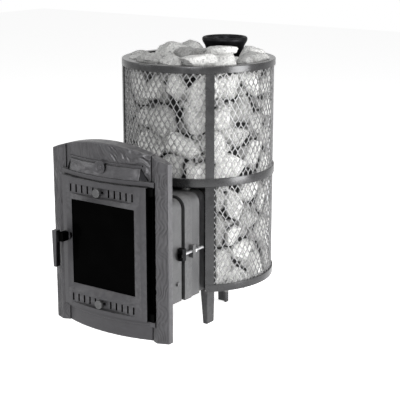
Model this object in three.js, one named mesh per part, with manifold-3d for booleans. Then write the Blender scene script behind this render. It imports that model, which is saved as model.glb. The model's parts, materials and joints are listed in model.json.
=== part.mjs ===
// A wood-fired sauna heater. A round mesh cage of stones stands on three cast legs around a firebox.
// A tunnel leads forward from the firebox to a bow-front portal with a glazed door, which stands in the
// next room, so the fire is fed from outside the sauna.
// Millimetres, +Z up. The portal faces -Y. Inside the group the cage's axis is X = Y = 0.
import * as THREE from 'three';
import { mergeVertices } from 'three/addons/utils/BufferGeometryUtils.js';
import Module from 'manifold-3d';

const wasm = await Module();
wasm.setup();

// Clearances
const FIT = 0.3; // between pieces that touch
const SWING_GAP = 2.4; // above, below and beside the door leaf
const RUN_GAP = 0.5; // round turning and sliding pieces
const OVERCUT = 1; // how far a cutting tool passes the face it cuts

// Firebox
const FIREBOX_HALF = 140;
const FIREBOX_FRONT = -160;
const FIREBOX_STRAIGHT = 80; // Y where the straight sides meet the round back
const FIREBOX_WALL = 10;
const FIREBOX_LID = 10;
const GRATE_RISE = 80; // base plate to the grate
const GRATE_THICK = 12;
const GRATE_SLOTS = 7;
const GRATE_SLOT = 10;
const GRATE_SLOT_INSET = 20; // ends of the slots to the grate's edges
const GRATE_REACH = 40; // grate behind the straight sides
const BAFFLE_DROP = 90; // below the firebox's upper edge
const BAFFLE_THICK = 8;
const BAFFLE_GAP = 10; // smoke passage in front of the round back's start

// Cage
const STONE_LAYER = 30; // firebox's round back to the cage's outside
const STONES_OVER = 177; // firebox's lid to the rim
const CAGE_HEIGHT = 722; // lower edge of the bottom ring to the rim
const BAND_THICK = 4;
const TOP_BAND = 22;
const MIDDLE_BAND = 27;
const BOTTOM_BAND = 24;
const RIM_LIP = 26; // how far the rim turns inwards
const POST_WIDTH = 28;
const POST_LAP = 0.7; // part of a post's width that the lower net's plain edge takes
const BAY_GAP = 17; // tunnel to the front posts
const MESH_THICK = 2.4;
const MESH_STRAND = 7;
const MESH_RIM = 9;
const MESH_COLUMNS = 18;
const MESH_ROWS = 4;

// Legs and base
const LEG_HEIGHT = 155;
const LEG_FRONT_X = 95;
const LEG_FRONT_Y = -85;
const LEG_REAR_Y = 150;
const LEG_SIDE = 45; // flange that runs along Y
const LEG_FACE = 32; // flange that runs along X
const LEG_FOOT_FACE = 17; // the same flange at the floor
const LEG_FOOT_SIDE = 40;
const LEG_WALL = 9;
const BASE_THICK = 4;

// Flue
const FLUE_BORE = 57.5;
const FLUE_WALL = 6;
const FLUE_INSET = 2.5; // bore to the firebox's back wall
const COLLAR_DROP = 22; // foot of the collar below the rim
const COLLAR_TOP = 53; // mouth of the collar above the rim
const COLLAR_FLARE = 12.5; // mouth wider than the riser
const COLLAR_BAND = 16; // height of the mouth's straight band
const COLLAR_EDGE = 4;
const SOCKET_STEP = 2.5; // mouth's bore wider than the flue
const SOCKET_SLOPE = 6;

// Stones
const FILL_DROP = 31; // rim to the level of the filling
const STONE_BED = 24; // layer that joins the stones of the heap
const STONE_SIZE = 92; // mean width of a stone
const STONE_BACK = 31; // net to the core that joins the stones
const STONE_COVER = 8; // core over the firebox's round back
const STONE_ROOM = 2; // stones to the net, and to the firebox
const STONE_DEPTH = 0.8; // part of its mean half width that a stone reaches inwards
const STONE_SHARE = 0.92; // part of its share's half width that a stone fills
const STONE_POWER = 0.85; // squareness of a stone, where 1 is an ellipsoid
const STONE_PITCH = 8; // spacing of the points that the stones share out
const STONE_ROUNDS = 24; // times that the shares are settled
const SPREAD_ALONG = 0.7548776662; // steps that spread the stones' first places evenly
const SPREAD_UP = 0.569840291;
const SPREAD_PULL = 0.6180339887;
const PULL_LEAST = 0.78; // stones with less pull get smaller shares
const PULL_RANGE = 0.52;
const ROUGHLY = 1; // the stones' own faces may move by this
const TIDY = 0.1; // slivers narrower than this are taken out of the stones

// Tunnel
const NECK_INSET = 2; // firebox's side to the neck's
const NECK_LENGTH = 46;
const NECK_STEP = 12; // tunnel's side beyond the neck's
const TUNNEL_HEIGHT = 328;
const TUNNEL_WALL = 8;
const TUNNEL_CORNER = 32;
const JOINT_OUT = 40; // cage to the joint of the two castings
const FRONT_LENGTH = 154; // joint to the portal
const TUNNEL_FLANGE = 5; // how far the rear casting's flange stands proud
const FLANGE_LENGTH = 36;
const SEAL_LENGTH = 9;
const SEAL_INSET = 4;
const PORTAL_FLANGE = 12;
const SHELF_GAP = 7.7; // tunnel's flange to the shelf
const SHELF_THICK = 4;
const SCREEN_THICK = 4;
const PAN_HALF = 105;
const PAN_HEIGHT = 55;
const PAN_WALL = 3;
const PAN_SETBACK = 19; // portal to the pan's front
const PAN_SHORT = 20; // pan's back in front of the round back's start

// Clamps on the tunnel's sides
const CLAMP_RISE = 156; // tunnel's underside to the bolt
const CLAMP_WIDTH = 15; // away from the casting
const CLAMP_HEIGHT = 40;
const CLAMP_SEAT = 0.55; // part of the width inside the bolt's axis
const HOOK_SETBACK = 4.5; // front casting's end to the hook
const HOOK_LENGTH = 18;
const LUG_LENGTH = 14;
const CLAMP_BOLT = 5;
const CLAMP_HEAD = 9;
const CLAMP_HEAD_LENGTH = 7;
const CLAMP_REACH = 46; // bolt beyond the lug
const SIDE_BOLT_SETBACK = 22.4;
const SIDE_BOLT_RISE = 60;
const SIDE_BOLT = 7;
const SIDE_BOLT_HEAD = 5;

// Portal
const THROAT_INSET = 16; // tunnel's inside to the throat's, at the sides
const THROAT_SILL = 9; // the same at the floor
const THROAT_HEAD = 13; // the same at the ceiling
const PLATE_DEPTH = 20; // plate behind the door
const APRON_HEIGHT = 66; // portal's lower edge to the door's
const CROWN_SIDE = 69.6; // recess to the top of the sides
const ARCH_RISE = 44;
const SIDE_DEPTH = 20; // depth at the outer corners
const PILASTER_SLOPE = 22; // bow's end to the pilaster's ridge
const PILASTER_FACE = 36; // ridge to the outer corner
const RIDGE_DEPTH = 34;
const BOW_DEPTH = 23; // at the bow's ends
const BOW_RISE = 27.5;
const LEDGE_OUT = 14;
const LEDGE_HEIGHT = 14;
const LIP_OUT = 7;
const LIP_HEIGHT = 14;
const PLAQUE_HEIGHT = 36;
const PLAQUE_INSET = 10; // bow's end to the plaque's lower corner
const PLAQUE_SLANT = 20;
const PLAQUE_OUT = 7;
const MEDALLION_RISE = 28; // ledge to the medallion's centre
const MEDALLION_RADIUS = 20.5;
const MEDALLION_OUT = 6;
const MEDALLION_EDGE = 2;
const MEDALLION_RIM = 6;
const MEDALLION_SLOPE = 2;
const MEDALLION_DISH = 3;
const MEDALLION_BOSS = 7.4;

// Door
const DOOR_LAP = 37; // throat's side to the door's edge
const DOOR_UNDER = 28; // throat's sill to the door's lower edge
const DOOR_OVER = 94; // throat's head to the door's upper edge
const DOOR_GAP = 6; // plate to the door's back
const DOOR_EDGE = 22; // thickness at the door's edges
const DOOR_BOW = 23;
const DOOR_STILE = 41; // door's edge to the daylight opening
const GLASS_SILL = 73;
const GLASS_HEAD = 71;
const GLASS_THICK = 4;
const GLASS_LAP = 7;
const GLASS_LIP = 3;
const FLARE = 20; // width of the sloping border round the glass
const FLARE_DROP = 0.6; // its depth beside the glass
const RETAINER_THICK = 5;
const RETAINER_WIDTH = 16;
const DOOR_SEAL = 10;
const DOOR_SEAL_INSET = 4;
const HINGE_OUT = 10; // door's edge to the hinge axis
const HINGE_EYE = 7;
const HINGE_ROOM = 3;
const HINGE_LUG = 25;
const PIN_RADIUS = 4;
const PIN_LENGTH = 20;

// Air slides
const VENT_OUT = 10; // vent's face in front of the door's edges
const VENT_HEIGHT = 34;
const VENT_WEB = 7;
const UPPER_VENT_DROP = 34;
const LOWER_VENT_RISE = 29;
const SLOT_WIDTH = 6;
const SLOT_HEIGHT = 25;
const SLOT_START = 30.4;
const SLOT_MARGIN = 43.4; // last slot to the door's edge
const SLOTS_A_SIDE = 5;
const SLIDE_THICK = 4;
const SLIDE_TRAVEL = 11;
const SLIDE_END = 8; // plate beyond its last slot
const STEM_RADIUS = 4;
const KNOB_RADIUS = 13.5;
const KNOB_GAP = 8; // vent's face to the back of the knob
const KNOB_LENGTH = 11;
const KNOB_EDGE = 2;

// Latch
const LATCH_RISE = 225; // door's lower edge to the spindle
const PAD_RADIUS = 16;
const PAD_OUT = 15;
const SPINDLE_RADIUS = 6;
const BOSS_HALF = 12;
const BOSS_HEIGHT = 28;
const BOSS_LENGTH = 20;
const BOSS_CAP = 10; // boss in front of the spindle's end
const GRIP_ASIDE = 14; // grip's middle outside the pivot
const GRIP_THICK = 20;
const GRIP_TOP = 22; // above the pivot
const GRIP_BOTTOM = 95; // below the pivot
const GRIP_HALF = 9;
const GRIP_TIP_HALF = 6;
const TONGUE_LENGTH = 26;
const TONGUE_HALF = 6;
const TONGUE_HUB = 9;
const TONGUE_THICK = 8;
const TONGUE_CLEAR = 1; // hub to the door's seal
const TONGUE_SETBACK = 2;
const NOTCH_ROOM = 3;

// Facets
const ROUND_STEPS = MESH_COLUMNS * 2; // stones and plates
const RING_STEPS = ROUND_STEPS * 2;
const POST_STEPS = 4;
const BACK_STEPS = 20; // firebox's round back
const CORNER_STEPS = 6; // tunnel's corners
const BOW_STEPS = 20;
const RIM_STEPS = 10; // border round the glass
const PIN_STEPS = 16;
const FLUE_STEPS = 32;
const KNOB_STEPS = 20;
const HEX = 6;
const COBBLE_STEPS = 9;
const COBBLE_RINGS = 6;
const FILL_STEPS = 7;
const FILL_RINGS = 4;

// Derived levels of the cage, firebox and flue
const FIREBOX_BACK = FIREBOX_STRAIGHT + FIREBOX_HALF;
const CAGE_RADIUS = FIREBOX_BACK + STONE_LAYER;
const RIM_Z = LEG_HEIGHT + CAGE_HEIGHT;
const BAND_INNER = CAGE_RADIUS - BAND_THICK;
const MESH_OUTER = BAND_INNER - FIT;
const MESH_INNER = MESH_OUTER - MESH_THICK;
const FILL_RADIUS = MESH_INNER - FIT;
const STONE_FACE = FILL_RADIUS - STONE_ROOM;
const BASE_TOP = LEG_HEIGHT + FIT + BASE_THICK;
const FIREBOX_LOW = BASE_TOP + FIT;
const LID_HIGH = RIM_Z - STONES_OVER;
const LID_LOW = LID_HIGH - FIREBOX_LID;
const FIREBOX_HIGH = LID_LOW - FIT;
const FLUE_Y = FIREBOX_BACK - FIREBOX_WALL - FLUE_BORE - FLUE_INSET;
const RISER_OUTER = FLUE_BORE + FLUE_WALL;
const COLLAR_MOUTH = RISER_OUTER + COLLAR_FLARE;
const COLLAR_BORE = FLUE_BORE + SOCKET_STEP;
const COLLAR_HIGH = RIM_Z + COLLAR_TOP;
const COLLAR_LOW = RIM_Z - COLLAR_DROP;
const FILL_TOP = RIM_Z - FILL_DROP;

// Derived places of the tunnel
const NECK_HALF = FIREBOX_HALF - NECK_INSET;
const NECK_INNER = NECK_HALF - TUNNEL_WALL;
const NECK_FRONT = FIREBOX_FRONT - NECK_LENGTH;
const TUNNEL_HALF = NECK_HALF + NECK_STEP;
const TUNNEL_LOW = LEG_HEIGHT;
const TUNNEL_HIGH = TUNNEL_LOW + TUNNEL_HEIGHT;
const TUNNEL_FLOOR = TUNNEL_LOW + TUNNEL_WALL;
const TUNNEL_CEILING = TUNNEL_HIGH - TUNNEL_WALL;
const TUNNEL_JOINT = -CAGE_RADIUS - JOINT_OUT; // front face of the rear casting
const FRONT_END = TUNNEL_JOINT - SEAL_LENGTH - 2 * FIT; // back face of the front casting
const SHELF_LOW = TUNNEL_HIGH + TUNNEL_FLANGE + SHELF_GAP;
const MIDDLE_Z = SHELF_LOW + SHELF_THICK + FIT;
const SCREEN_FRONT = FIREBOX_FRONT - FIT - SCREEN_THICK;

// Derived places of the portal
const PORTAL_BACK = TUNNEL_JOINT - FRONT_LENGTH;
const PLATE_FRONT = PORTAL_BACK - PLATE_DEPTH;
const THROAT_HALF = TUNNEL_HALF - TUNNEL_WALL - THROAT_INSET;
const THROAT_LOW = TUNNEL_FLOOR + THROAT_SILL;
const THROAT_HIGH = TUNNEL_CEILING - THROAT_HEAD;
const DOOR_HALF = THROAT_HALF + DOOR_LAP;
const DOOR_LOW = THROAT_LOW - DOOR_UNDER;
const DOOR_HIGH = THROAT_HIGH + DOOR_OVER;
const RECESS_LOW = DOOR_LOW - SWING_GAP;
const RECESS_HIGH = DOOR_HIGH + SWING_GAP;
const PORTAL_GROUND = DOOR_LOW - APRON_HEIGHT;
const SIDE_TOP = RECESS_HIGH + CROWN_SIDE;
const BOW_HALF = DOOR_HALF + SWING_GAP; // ends of the bowed apron and crown
const RIDGE_HALF = BOW_HALF + PILASTER_SLOPE;
const PORTAL_HALF = RIDGE_HALF + PILASTER_FACE;
const BOW_EDGE_Y = PORTAL_BACK - BOW_DEPTH;
const LEDGE_TOP = RECESS_HIGH + LEDGE_HEIGHT;

// Derived places of the door, slides and latch
const DOOR_BACK = PLATE_FRONT - DOOR_GAP;
const DOOR_EDGE_Y = DOOR_BACK - DOOR_EDGE;
const GLASS_HALF = DOOR_HALF - DOOR_STILE; // daylight opening
const GLASS_LOW = DOOR_LOW + GLASS_SILL;
const GLASS_HIGH = DOOR_HIGH - GLASS_HEAD;
const HINGE_X = DOOR_HALF + HINGE_OUT;
const HINGE_Y = DOOR_BACK - HINGE_EYE;
const HINGE_POCKET = HINGE_X + HINGE_EYE + HINGE_ROOM; // right pilaster's inner face beside the door
const VENT_PLANE = DOOR_EDGE_Y - VENT_OUT;
const UPPER_VENT_Z = DOOR_HIGH - UPPER_VENT_DROP;
const LOWER_VENT_Z = DOOR_LOW + LOWER_VENT_RISE;
const SLOT_LAST = DOOR_HALF - SLOT_MARGIN;
const SLOT_PITCH = (SLOT_LAST - SLOT_START) / (SLOTS_A_SIDE - 1);
const STEM_X = -SLIDE_TRAVEL / 2;
const LATCH_X = DOOR_SEAL_INSET + DOOR_SEAL + TONGUE_CLEAR + TONGUE_HUB - DOOR_HALF;
const LATCH_Z = DOOR_LOW + LATCH_RISE;
const PAD_PLANE = DOOR_EDGE_Y - PAD_OUT;
const GRIP_BACK = PAD_PLANE - FIT - BOSS_LENGTH;
const GRIP_FRONT = GRIP_BACK - GRIP_THICK;
const NOTCH_X = LATCH_X - TONGUE_HUB - NOTCH_ROOM;
const NOTCH_HALF = Math.hypot(TONGUE_LENGTH, TONGUE_HALF) + NOTCH_ROOM;
const FAR = 400; // reach of cutting tools past the piece they cut

// Geometry helpers
function solid(geometry) {
  const bare = new THREE.BufferGeometry();
  bare.setAttribute('position', geometry.getAttribute('position'));
  if (geometry.index) bare.setIndex(geometry.index);
  const merged = mergeVertices(bare, 1e-4);
  return new wasm.Manifold(new wasm.Mesh({
    numProp: 3,
    vertProperties: new Float32Array(merged.getAttribute('position').array),
    triVerts: new Uint32Array(merged.index.array),
  }));
}

function surface(body) {
  const mesh = body.getMesh();
  const geometry = new THREE.BufferGeometry();
  geometry.setAttribute('position', new THREE.BufferAttribute(mesh.vertProperties, 3));
  geometry.setIndex(new THREE.BufferAttribute(mesh.triVerts, 1));
  const flat = geometry.toNonIndexed();
  flat.computeVertexNormals();
  return flat;
}

function prism(points, low, high, holes = []) {
  const shape = new THREE.Shape(points);
  for (const hole of holes) shape.holes.push(new THREE.Path(hole));
  const geometry = new THREE.ExtrudeGeometry(shape, { depth: high - low, bevelEnabled: false });
  return solid(geometry.translate(0, 0, low));
}

// An outline in X and Z, run along Y.
function prismAlongY(points, front, back, holes = []) {
  const shape = new THREE.Shape(points);
  for (const hole of holes) shape.holes.push(new THREE.Path(hole));
  const geometry = new THREE.ExtrudeGeometry(shape, { depth: back - front, bevelEnabled: false });
  return solid(geometry.rotateX(Math.PI / 2).translate(0, back, 0));
}

function box(x0, x1, y0, y1, z0, z1) {
  const geometry = new THREE.BoxGeometry(x1 - x0, y1 - y0, z1 - z0);
  return solid(geometry.translate((x0 + x1) / 2, (y0 + y1) / 2, (z0 + z1) / 2));
}

function upright(radius, low, high, x = 0, y = 0, steps = PIN_STEPS) {
  const geometry = new THREE.CylinderGeometry(radius, radius, high - low, steps);
  return solid(geometry.rotateX(Math.PI / 2).translate(x, y, (low + high) / 2));
}

function rodAlongY(radius, front, back, x, z, steps = PIN_STEPS) {
  const geometry = new THREE.CylinderGeometry(radius, radius, back - front, steps);
  return solid(geometry.translate(0, (front + back) / 2, 0).translate(x, 0, z));
}

function rodAlongX(radius, x0, x1, y, z, steps = HEX) {
  const geometry = new THREE.CylinderGeometry(radius, radius, x1 - x0, steps);
  return solid(geometry.rotateZ(Math.PI / 2).translate((x0 + x1) / 2, y, z));
}

// A closed profile of [radius, height] turned about the vertical axis.
function turned(profile, steps = ROUND_STEPS) {
  const points = profile.map(([radius, height]) => new THREE.Vector2(radius, height));
  return solid(new THREE.LatheGeometry(points, steps).rotateX(Math.PI / 2));
}

// Plan angles run from the front, counter-clockwise towards +X, in degrees.
function planPoint(radius, degrees) {
  const angle = THREE.MathUtils.degToRad(degrees);
  return new THREE.Vector2(radius * Math.sin(angle), -radius * Math.cos(angle));
}

function planArc(radius, from, to, steps) {
  const points = [];
  for (let i = 0; i <= steps; i += 1) points.push(planPoint(radius, from + ((to - from) * i) / steps));
  return points;
}

function sector(inner, outer, from, to, low, high, steps) {
  return prism([...planArc(outer, from, to, steps), ...planArc(inner, to, from, steps)], low, high);
}

function disc(radius, low, high) {
  return prism(planArc(radius, 0, 360, ROUND_STEPS).slice(0, -1), low, high);
}

function rectangle(x0, x1, z0, z1) {
  return [[x0, z0], [x1, z0], [x1, z1], [x0, z1]].map(([x, z]) => new THREE.Vector2(x, z));
}

// Y of a bow that bulges towards -Y between two ends.
function bowY(x, half, edgeY, rise) {
  const radius = (half * half + rise * rise) / (2 * rise);
  return edgeY - rise + radius - Math.sqrt(radius * radius - x * x);
}

function bowLine(half, edgeY, rise, reach = half) {
  const points = [];
  for (let i = 0; i <= BOW_STEPS; i += 1) {
    const x = -reach + (2 * reach * i) / BOW_STEPS;
    points.push(new THREE.Vector2(x, bowY(x, half, edgeY, rise)));
  }
  return points;
}

// Rings of matching points, skinned from the first to the last, with flat ends.
function loft(rings) {
  const count = rings[0].length;
  const middles = [rings[0], rings[rings.length - 1]].map((ring) => {
    const middle = new THREE.Vector3();
    for (const point of ring) middle.add(point);
    return middle.divideScalar(count);
  });
  const points = [...rings.flat(), ...middles];
  const index = [];
  for (let r = 0; r + 1 < rings.length; r += 1) {
    for (let i = 0; i < count; i += 1) {
      const a = r * count + i;
      const b = r * count + ((i + 1) % count);
      index.push(a, b, b + count, a, b + count, a + count);
    }
  }
  const first = rings.length * count;
  const last = (rings.length - 1) * count;
  for (let i = 0; i < count; i += 1) {
    const next = (i + 1) % count;
    index.push(first, next, i, first + 1, last + i, last + next);
  }
  const geometry = new THREE.BufferGeometry().setFromPoints(points);
  geometry.setIndex(index);
  const body = solid(geometry);
  return body.volume() > 0 ? body : solid(geometry.setIndex(index.reverse()));
}

// Materials
const LOOKS = {
  iron: { color: 0x55555a, roughness: 0.6, metalness: 0.7 },
  band: { color: 0x4a4a4c, roughness: 0.45, metalness: 0.8 },
  mesh: { color: 0x77777a, roughness: 0.5, metalness: 0.8 },
  stone: { color: 0xd8d8d4, roughness: 0.75, metalness: 0 },
  sooty: { color: 0x1b1b1c, roughness: 0.7, metalness: 0.4 },
  tunnel: { color: 0x77777a, roughness: 0.6, metalness: 0.6 },
  leg: { color: 0x4c4c4e, roughness: 0.6, metalness: 0.6 },
  plate: { color: 0x3a3a3c, roughness: 0.6, metalness: 0.7 },
  glass: { color: 0x050506, roughness: 0.08, metalness: 0 },
  rope: { color: 0x2a2a2a, roughness: 0.95, metalness: 0 },
  steel: { color: 0xb4b4b6, roughness: 0.3, metalness: 1 },
};

const heater = new THREE.Group();

function place(name, look, body) {
  const mesh = new THREE.Mesh(surface(body), new THREE.MeshStandardMaterial(LOOKS[look]));
  mesh.name = name;
  heater.add(mesh);
}

// Cage: three rings and two tiers of posts
place('cage_top_ring', 'band', turned([
  [CAGE_RADIUS, RIM_Z - TOP_BAND],
  [CAGE_RADIUS, RIM_Z],
  [BAND_INNER - RIM_LIP, RIM_Z],
  [BAND_INNER - RIM_LIP, RIM_Z - BAND_THICK],
  [BAND_INNER, RIM_Z - BAND_THICK],
  [BAND_INNER, RIM_Z - TOP_BAND],
  [CAGE_RADIUS, RIM_Z - TOP_BAND],
], RING_STEPS));

place('cage_middle_ring', 'band', turned([
  [CAGE_RADIUS, MIDDLE_Z],
  [CAGE_RADIUS, MIDDLE_Z + MIDDLE_BAND],
  [BAND_INNER, MIDDLE_Z + MIDDLE_BAND],
  [BAND_INNER, MIDDLE_Z],
  [CAGE_RADIUS, MIDDLE_Z],
], RING_STEPS));

const postSweep = THREE.MathUtils.radToDeg(POST_WIDTH / CAGE_RADIUS);
const bayEdge = THREE.MathUtils.radToDeg(Math.asin((TUNNEL_HALF + BAY_GAP) / CAGE_RADIUS));
const postAngle = bayEdge + postSweep / 2;
const postAngles = {
  front_right: postAngle,
  rear_right: 180 - postAngle,
  rear_left: 180 + postAngle,
  front_left: 360 - postAngle,
};
const openFrom = bayEdge;
const openTo = 360 - bayEdge;
place('cage_bottom_ring', 'band',
  sector(BAND_INNER, CAGE_RADIUS, openFrom, openTo, LEG_HEIGHT, LEG_HEIGHT + BOTTOM_BAND, RING_STEPS));

const tiers = {
  upper: [MIDDLE_Z + MIDDLE_BAND + FIT, RIM_Z - TOP_BAND - FIT],
  lower: [LEG_HEIGHT + BOTTOM_BAND + FIT, MIDDLE_Z - FIT],
};
for (const [tier, [low, high]] of Object.entries(tiers)) {
  for (const [corner, angle] of Object.entries(postAngles)) {
    const edges = [angle - postSweep / 2, angle + postSweep / 2];
    const post = sector(BAND_INNER, CAGE_RADIUS, ...edges, low, high, POST_STEPS);
    place(`cage_post_${tier}_${corner}`, 'band', post);
  }
}

// A round net of upright diamonds between two plain rims. Crossings lie on every other point of a grid;
// each crossing has four corner points, one for each hole around it, and the net has two such skins.
function net(low, high) {
  const columns = MESH_COLUMNS * 2;
  const rows = MESH_ROWS;
  const rowHeight = (high - low - 2 * MESH_RIM) / rows;
  const across = THREE.MathUtils.radToDeg(MESH_STRAND / 2 / MESH_OUTER);
  const along = MESH_STRAND;
  const points = [];
  const faces = [];
  const known = new Map();
  const corner = (column, row, turn, rise, skin) => {
    const wrapped = ((column % columns) + columns) % columns;
    const key = `${wrapped}/${row}/${turn}/${rise}/${skin}`;
    if (!known.has(key)) {
      const plan = planPoint(skin ? MESH_OUTER : MESH_INNER, (360 * wrapped) / columns + turn * across);
      const z = row === 'low' ? low : row === 'high' ? high : low + MESH_RIM + row * rowHeight + rise * along;
      known.set(key, points.push(new THREE.Vector3(plan.x, plan.y, z)) - 1);
    }
    return known.get(key);
  };
  // A patch on both skins, given counter-clockwise as seen from outside.
  const patch = (list) => {
    const outer = list.map((c) => corner(...c, 1));
    const inner = list.map((c) => corner(...c, 0));
    for (let i = 1; i + 1 < list.length; i += 1) {
      faces.push(outer[0], outer[i], outer[i + 1]);
      faces.push(inner[0], inner[i + 1], inner[i]);
    }
  };
  // A wall between the skins along an edge of the material, which lies to the right of a to b.
  const wall = (a, b) => {
    faces.push(corner(...b, 1), corner(...b, 0), corner(...a, 0));
    faces.push(corner(...b, 1), corner(...a, 0), corner(...a, 1));
  };
  for (let row = 0; row <= rows; row += 1) {
    for (let column = row % 2; column < columns; column += 2) {
      const east = [column, row, 1, 0];
      const west = [column, row, -1, 0];
      const north = [column, row, 0, 1];
      const south = [column, row, 0, -1];
      if (row === 0) patch([west, east, north]);
      else if (row === rows) patch([west, south, east]);
      else patch([east, north, west, south]);
      if (row < rows) {
        const right = [column + 1, row + 1];
        const left = [column - 1, row + 1];
        patch([east, [...right, 0, -1], [...right, -1, 0], north]);
        patch([north, [...left, 1, 0], [...left, 0, -1], west]);
        wall([...right, 0, -1], east);
        wall(north, [...right, -1, 0]);
        wall([...left, 1, 0], north);
        wall(west, [...left, 0, -1]);
      }
      if (row === 0 || row === rows) {
        const edge = row === 0 ? 'low' : 'high';
        const line = [west, east, [column + 1, row, 0, 0], [column + 2, row, -1, 0]];
        const border = line.map(([at, , turn]) => [at, edge, turn, 0]);
        for (let i = 0; i < 3; i += 1) {
          const inside = [line[i], line[i + 1]];
          const outside = [border[i], border[i + 1]];
          if (row === 0) patch([...outside, inside[1], inside[0]]);
          else patch([...inside, outside[1], outside[0]]);
          if (row === 0) wall(outside[1], outside[0]);
          else wall(...outside);
          if (i > 0 && row === 0) wall(...inside);
          else if (i > 0) wall(inside[1], inside[0]);
        }
      }
    }
  }
  const geometry = new THREE.BufferGeometry().setFromPoints(points);
  geometry.setIndex(faces);
  const body = solid(geometry);
  return body.volume() > 0 ? body : solid(geometry.setIndex(faces.reverse()));
}

const netSplit = MIDDLE_Z + MIDDLE_BAND / 2;
place('cage_mesh_upper', 'mesh', net(netSplit + FIT, RIM_Z - BAND_THICK - FIT));

const netLow = BASE_TOP + FIT;
const netHigh = netSplit - FIT;
const netSide = postSweep * POST_LAP;
const netSector = sector(MESH_INNER - OVERCUT, MESH_OUTER + OVERCUT, openFrom, openTo, netLow - OVERCUT,
  netHigh + OVERCUT, ROUND_STEPS);
const netSides = [openFrom, openTo - netSide].map((from) =>
  sector(MESH_INNER, MESH_OUTER, from, from + netSide, netLow, netHigh, POST_STEPS));
place('cage_mesh_lower', 'mesh', net(netLow, netHigh).intersect(netSector).add(netSides[0]).add(netSides[1]));

// Base plate, legs
const frontBay = box(-FAR, FAR, -FAR, FIREBOX_FRONT, 0, SHELF_LOW + SHELF_THICK);
place('base_plate', 'plate', disc(MESH_OUTER, LEG_HEIGHT + FIT, BASE_TOP).subtract(frontBay));

// An angle casting whose corner stands at the origin; face runs along -X and side along +Y.
function legBody() {
  const angle = (face, side, z) => [
    [0, 0], [0, side], [-LEG_WALL, side], [-LEG_WALL, LEG_WALL], [-face, LEG_WALL], [-face, 0],
  ].map(([x, y]) => new THREE.Vector3(x, y, z));
  const foot = angle(LEG_FOOT_FACE, LEG_FOOT_SIDE, 0);
  const head = angle(LEG_FACE, LEG_SIDE, LEG_HEIGHT);
  const points = [...foot, ...head];
  const caps = [[0, 1, 2], [0, 2, 3], [0, 3, 4], [0, 4, 5]];
  const index = [];
  for (const [a, b, c] of caps) index.push(a, c, b, a + 6, b + 6, c + 6);
  for (let i = 0; i < 6; i += 1) {
    const next = (i + 1) % 6;
    index.push(i, next, next + 6, i, next + 6, i + 6);
  }
  const geometry = new THREE.BufferGeometry().setFromPoints(points);
  geometry.setIndex(index);
  const body = solid(geometry);
  return body.volume() > 0 ? body : solid(geometry.setIndex(index.reverse()));
}
const leg = legBody();
place('leg_front_right', 'leg', leg.translate([LEG_FRONT_X, LEG_FRONT_Y, 0]));
place('leg_front_left', 'leg', leg.mirror([1, 0, 0]).translate([-LEG_FRONT_X, LEG_FRONT_Y, 0]));
place('leg_rear', 'leg', leg.rotate([0, 0, 90]).translate([LEG_SIDE / 2, LEG_REAR_Y, 0]));

// Firebox
function fireboxOutline(inset) {
  const half = FIREBOX_HALF - inset;
  const front = FIREBOX_FRONT + inset;
  const points = [new THREE.Vector2(-half, front), new THREE.Vector2(half, front)];
  for (let i = 0; i <= BACK_STEPS; i += 1) {
    const angle = (Math.PI * i) / BACK_STEPS;
    points.push(new THREE.Vector2(half * Math.cos(angle), FIREBOX_STRAIGHT + half * Math.sin(angle)));
  }
  return points;
}
const fireDoorway = box(-NECK_INNER, NECK_INNER, FIREBOX_FRONT - FAR, FIREBOX_FRONT + FIREBOX_WALL + OVERCUT,
  TUNNEL_FLOOR, TUNNEL_CEILING);
const fireboxHollow = prism(fireboxOutline(FIREBOX_WALL), FIREBOX_LOW - OVERCUT, FIREBOX_HIGH + OVERCUT);
place('firebox_shell', 'iron',
  prism(fireboxOutline(0), FIREBOX_LOW, FIREBOX_HIGH).subtract(fireboxHollow).subtract(fireDoorway));

const flueHole = upright(FLUE_BORE, LID_LOW - OVERCUT, LID_HIGH + OVERCUT, 0, FLUE_Y, FLUE_STEPS);
place('firebox_top', 'iron', prism(fireboxOutline(0), LID_LOW, LID_HIGH).subtract(flueHole));

const innerSlab = (low, high, back) =>
  prism(fireboxOutline(FIREBOX_WALL + FIT), low, high).intersect(box(-FAR, FAR, -FAR, back, 0, RIM_Z));
const grateLow = BASE_TOP + GRATE_RISE;
const grateFront = FIREBOX_FRONT + FIREBOX_WALL;
const grateBack = FIREBOX_STRAIGHT + GRATE_REACH;
let grate = innerSlab(grateLow, grateLow + GRATE_THICK, grateBack);
for (let i = 0; i < GRATE_SLOTS; i += 1) {
  const x = ((i + 1) / (GRATE_SLOTS + 1) - 0.5) * 2 * (FIREBOX_HALF - FIREBOX_WALL);
  const slot = box(x - GRATE_SLOT / 2, x + GRATE_SLOT / 2, grateFront + GRATE_SLOT_INSET,
    grateBack - GRATE_SLOT_INSET, grateLow - OVERCUT, grateLow + GRATE_THICK + OVERCUT);
  grate = grate.subtract(slot);
}
place('grate', 'iron', grate);

const baffleLow = FIREBOX_HIGH - BAFFLE_DROP;
place('flame_baffle', 'iron', innerSlab(baffleLow, baffleLow + BAFFLE_THICK, FIREBOX_STRAIGHT - BAFFLE_GAP));

const panLow = TUNNEL_FLOOR + FIT;
const panFront = PORTAL_BACK + PAN_SETBACK;
const panBack = FIREBOX_STRAIGHT - PAN_SHORT;
const panHollow = box(-PAN_HALF + PAN_WALL, PAN_HALF - PAN_WALL, panFront + PAN_WALL, panBack - PAN_WALL,
  panLow + PAN_WALL, panLow + PAN_HEIGHT + OVERCUT);
place('ash_pan', 'plate',
  box(-PAN_HALF, PAN_HALF, panFront, panBack, panLow, panLow + PAN_HEIGHT).subtract(panHollow));

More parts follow.
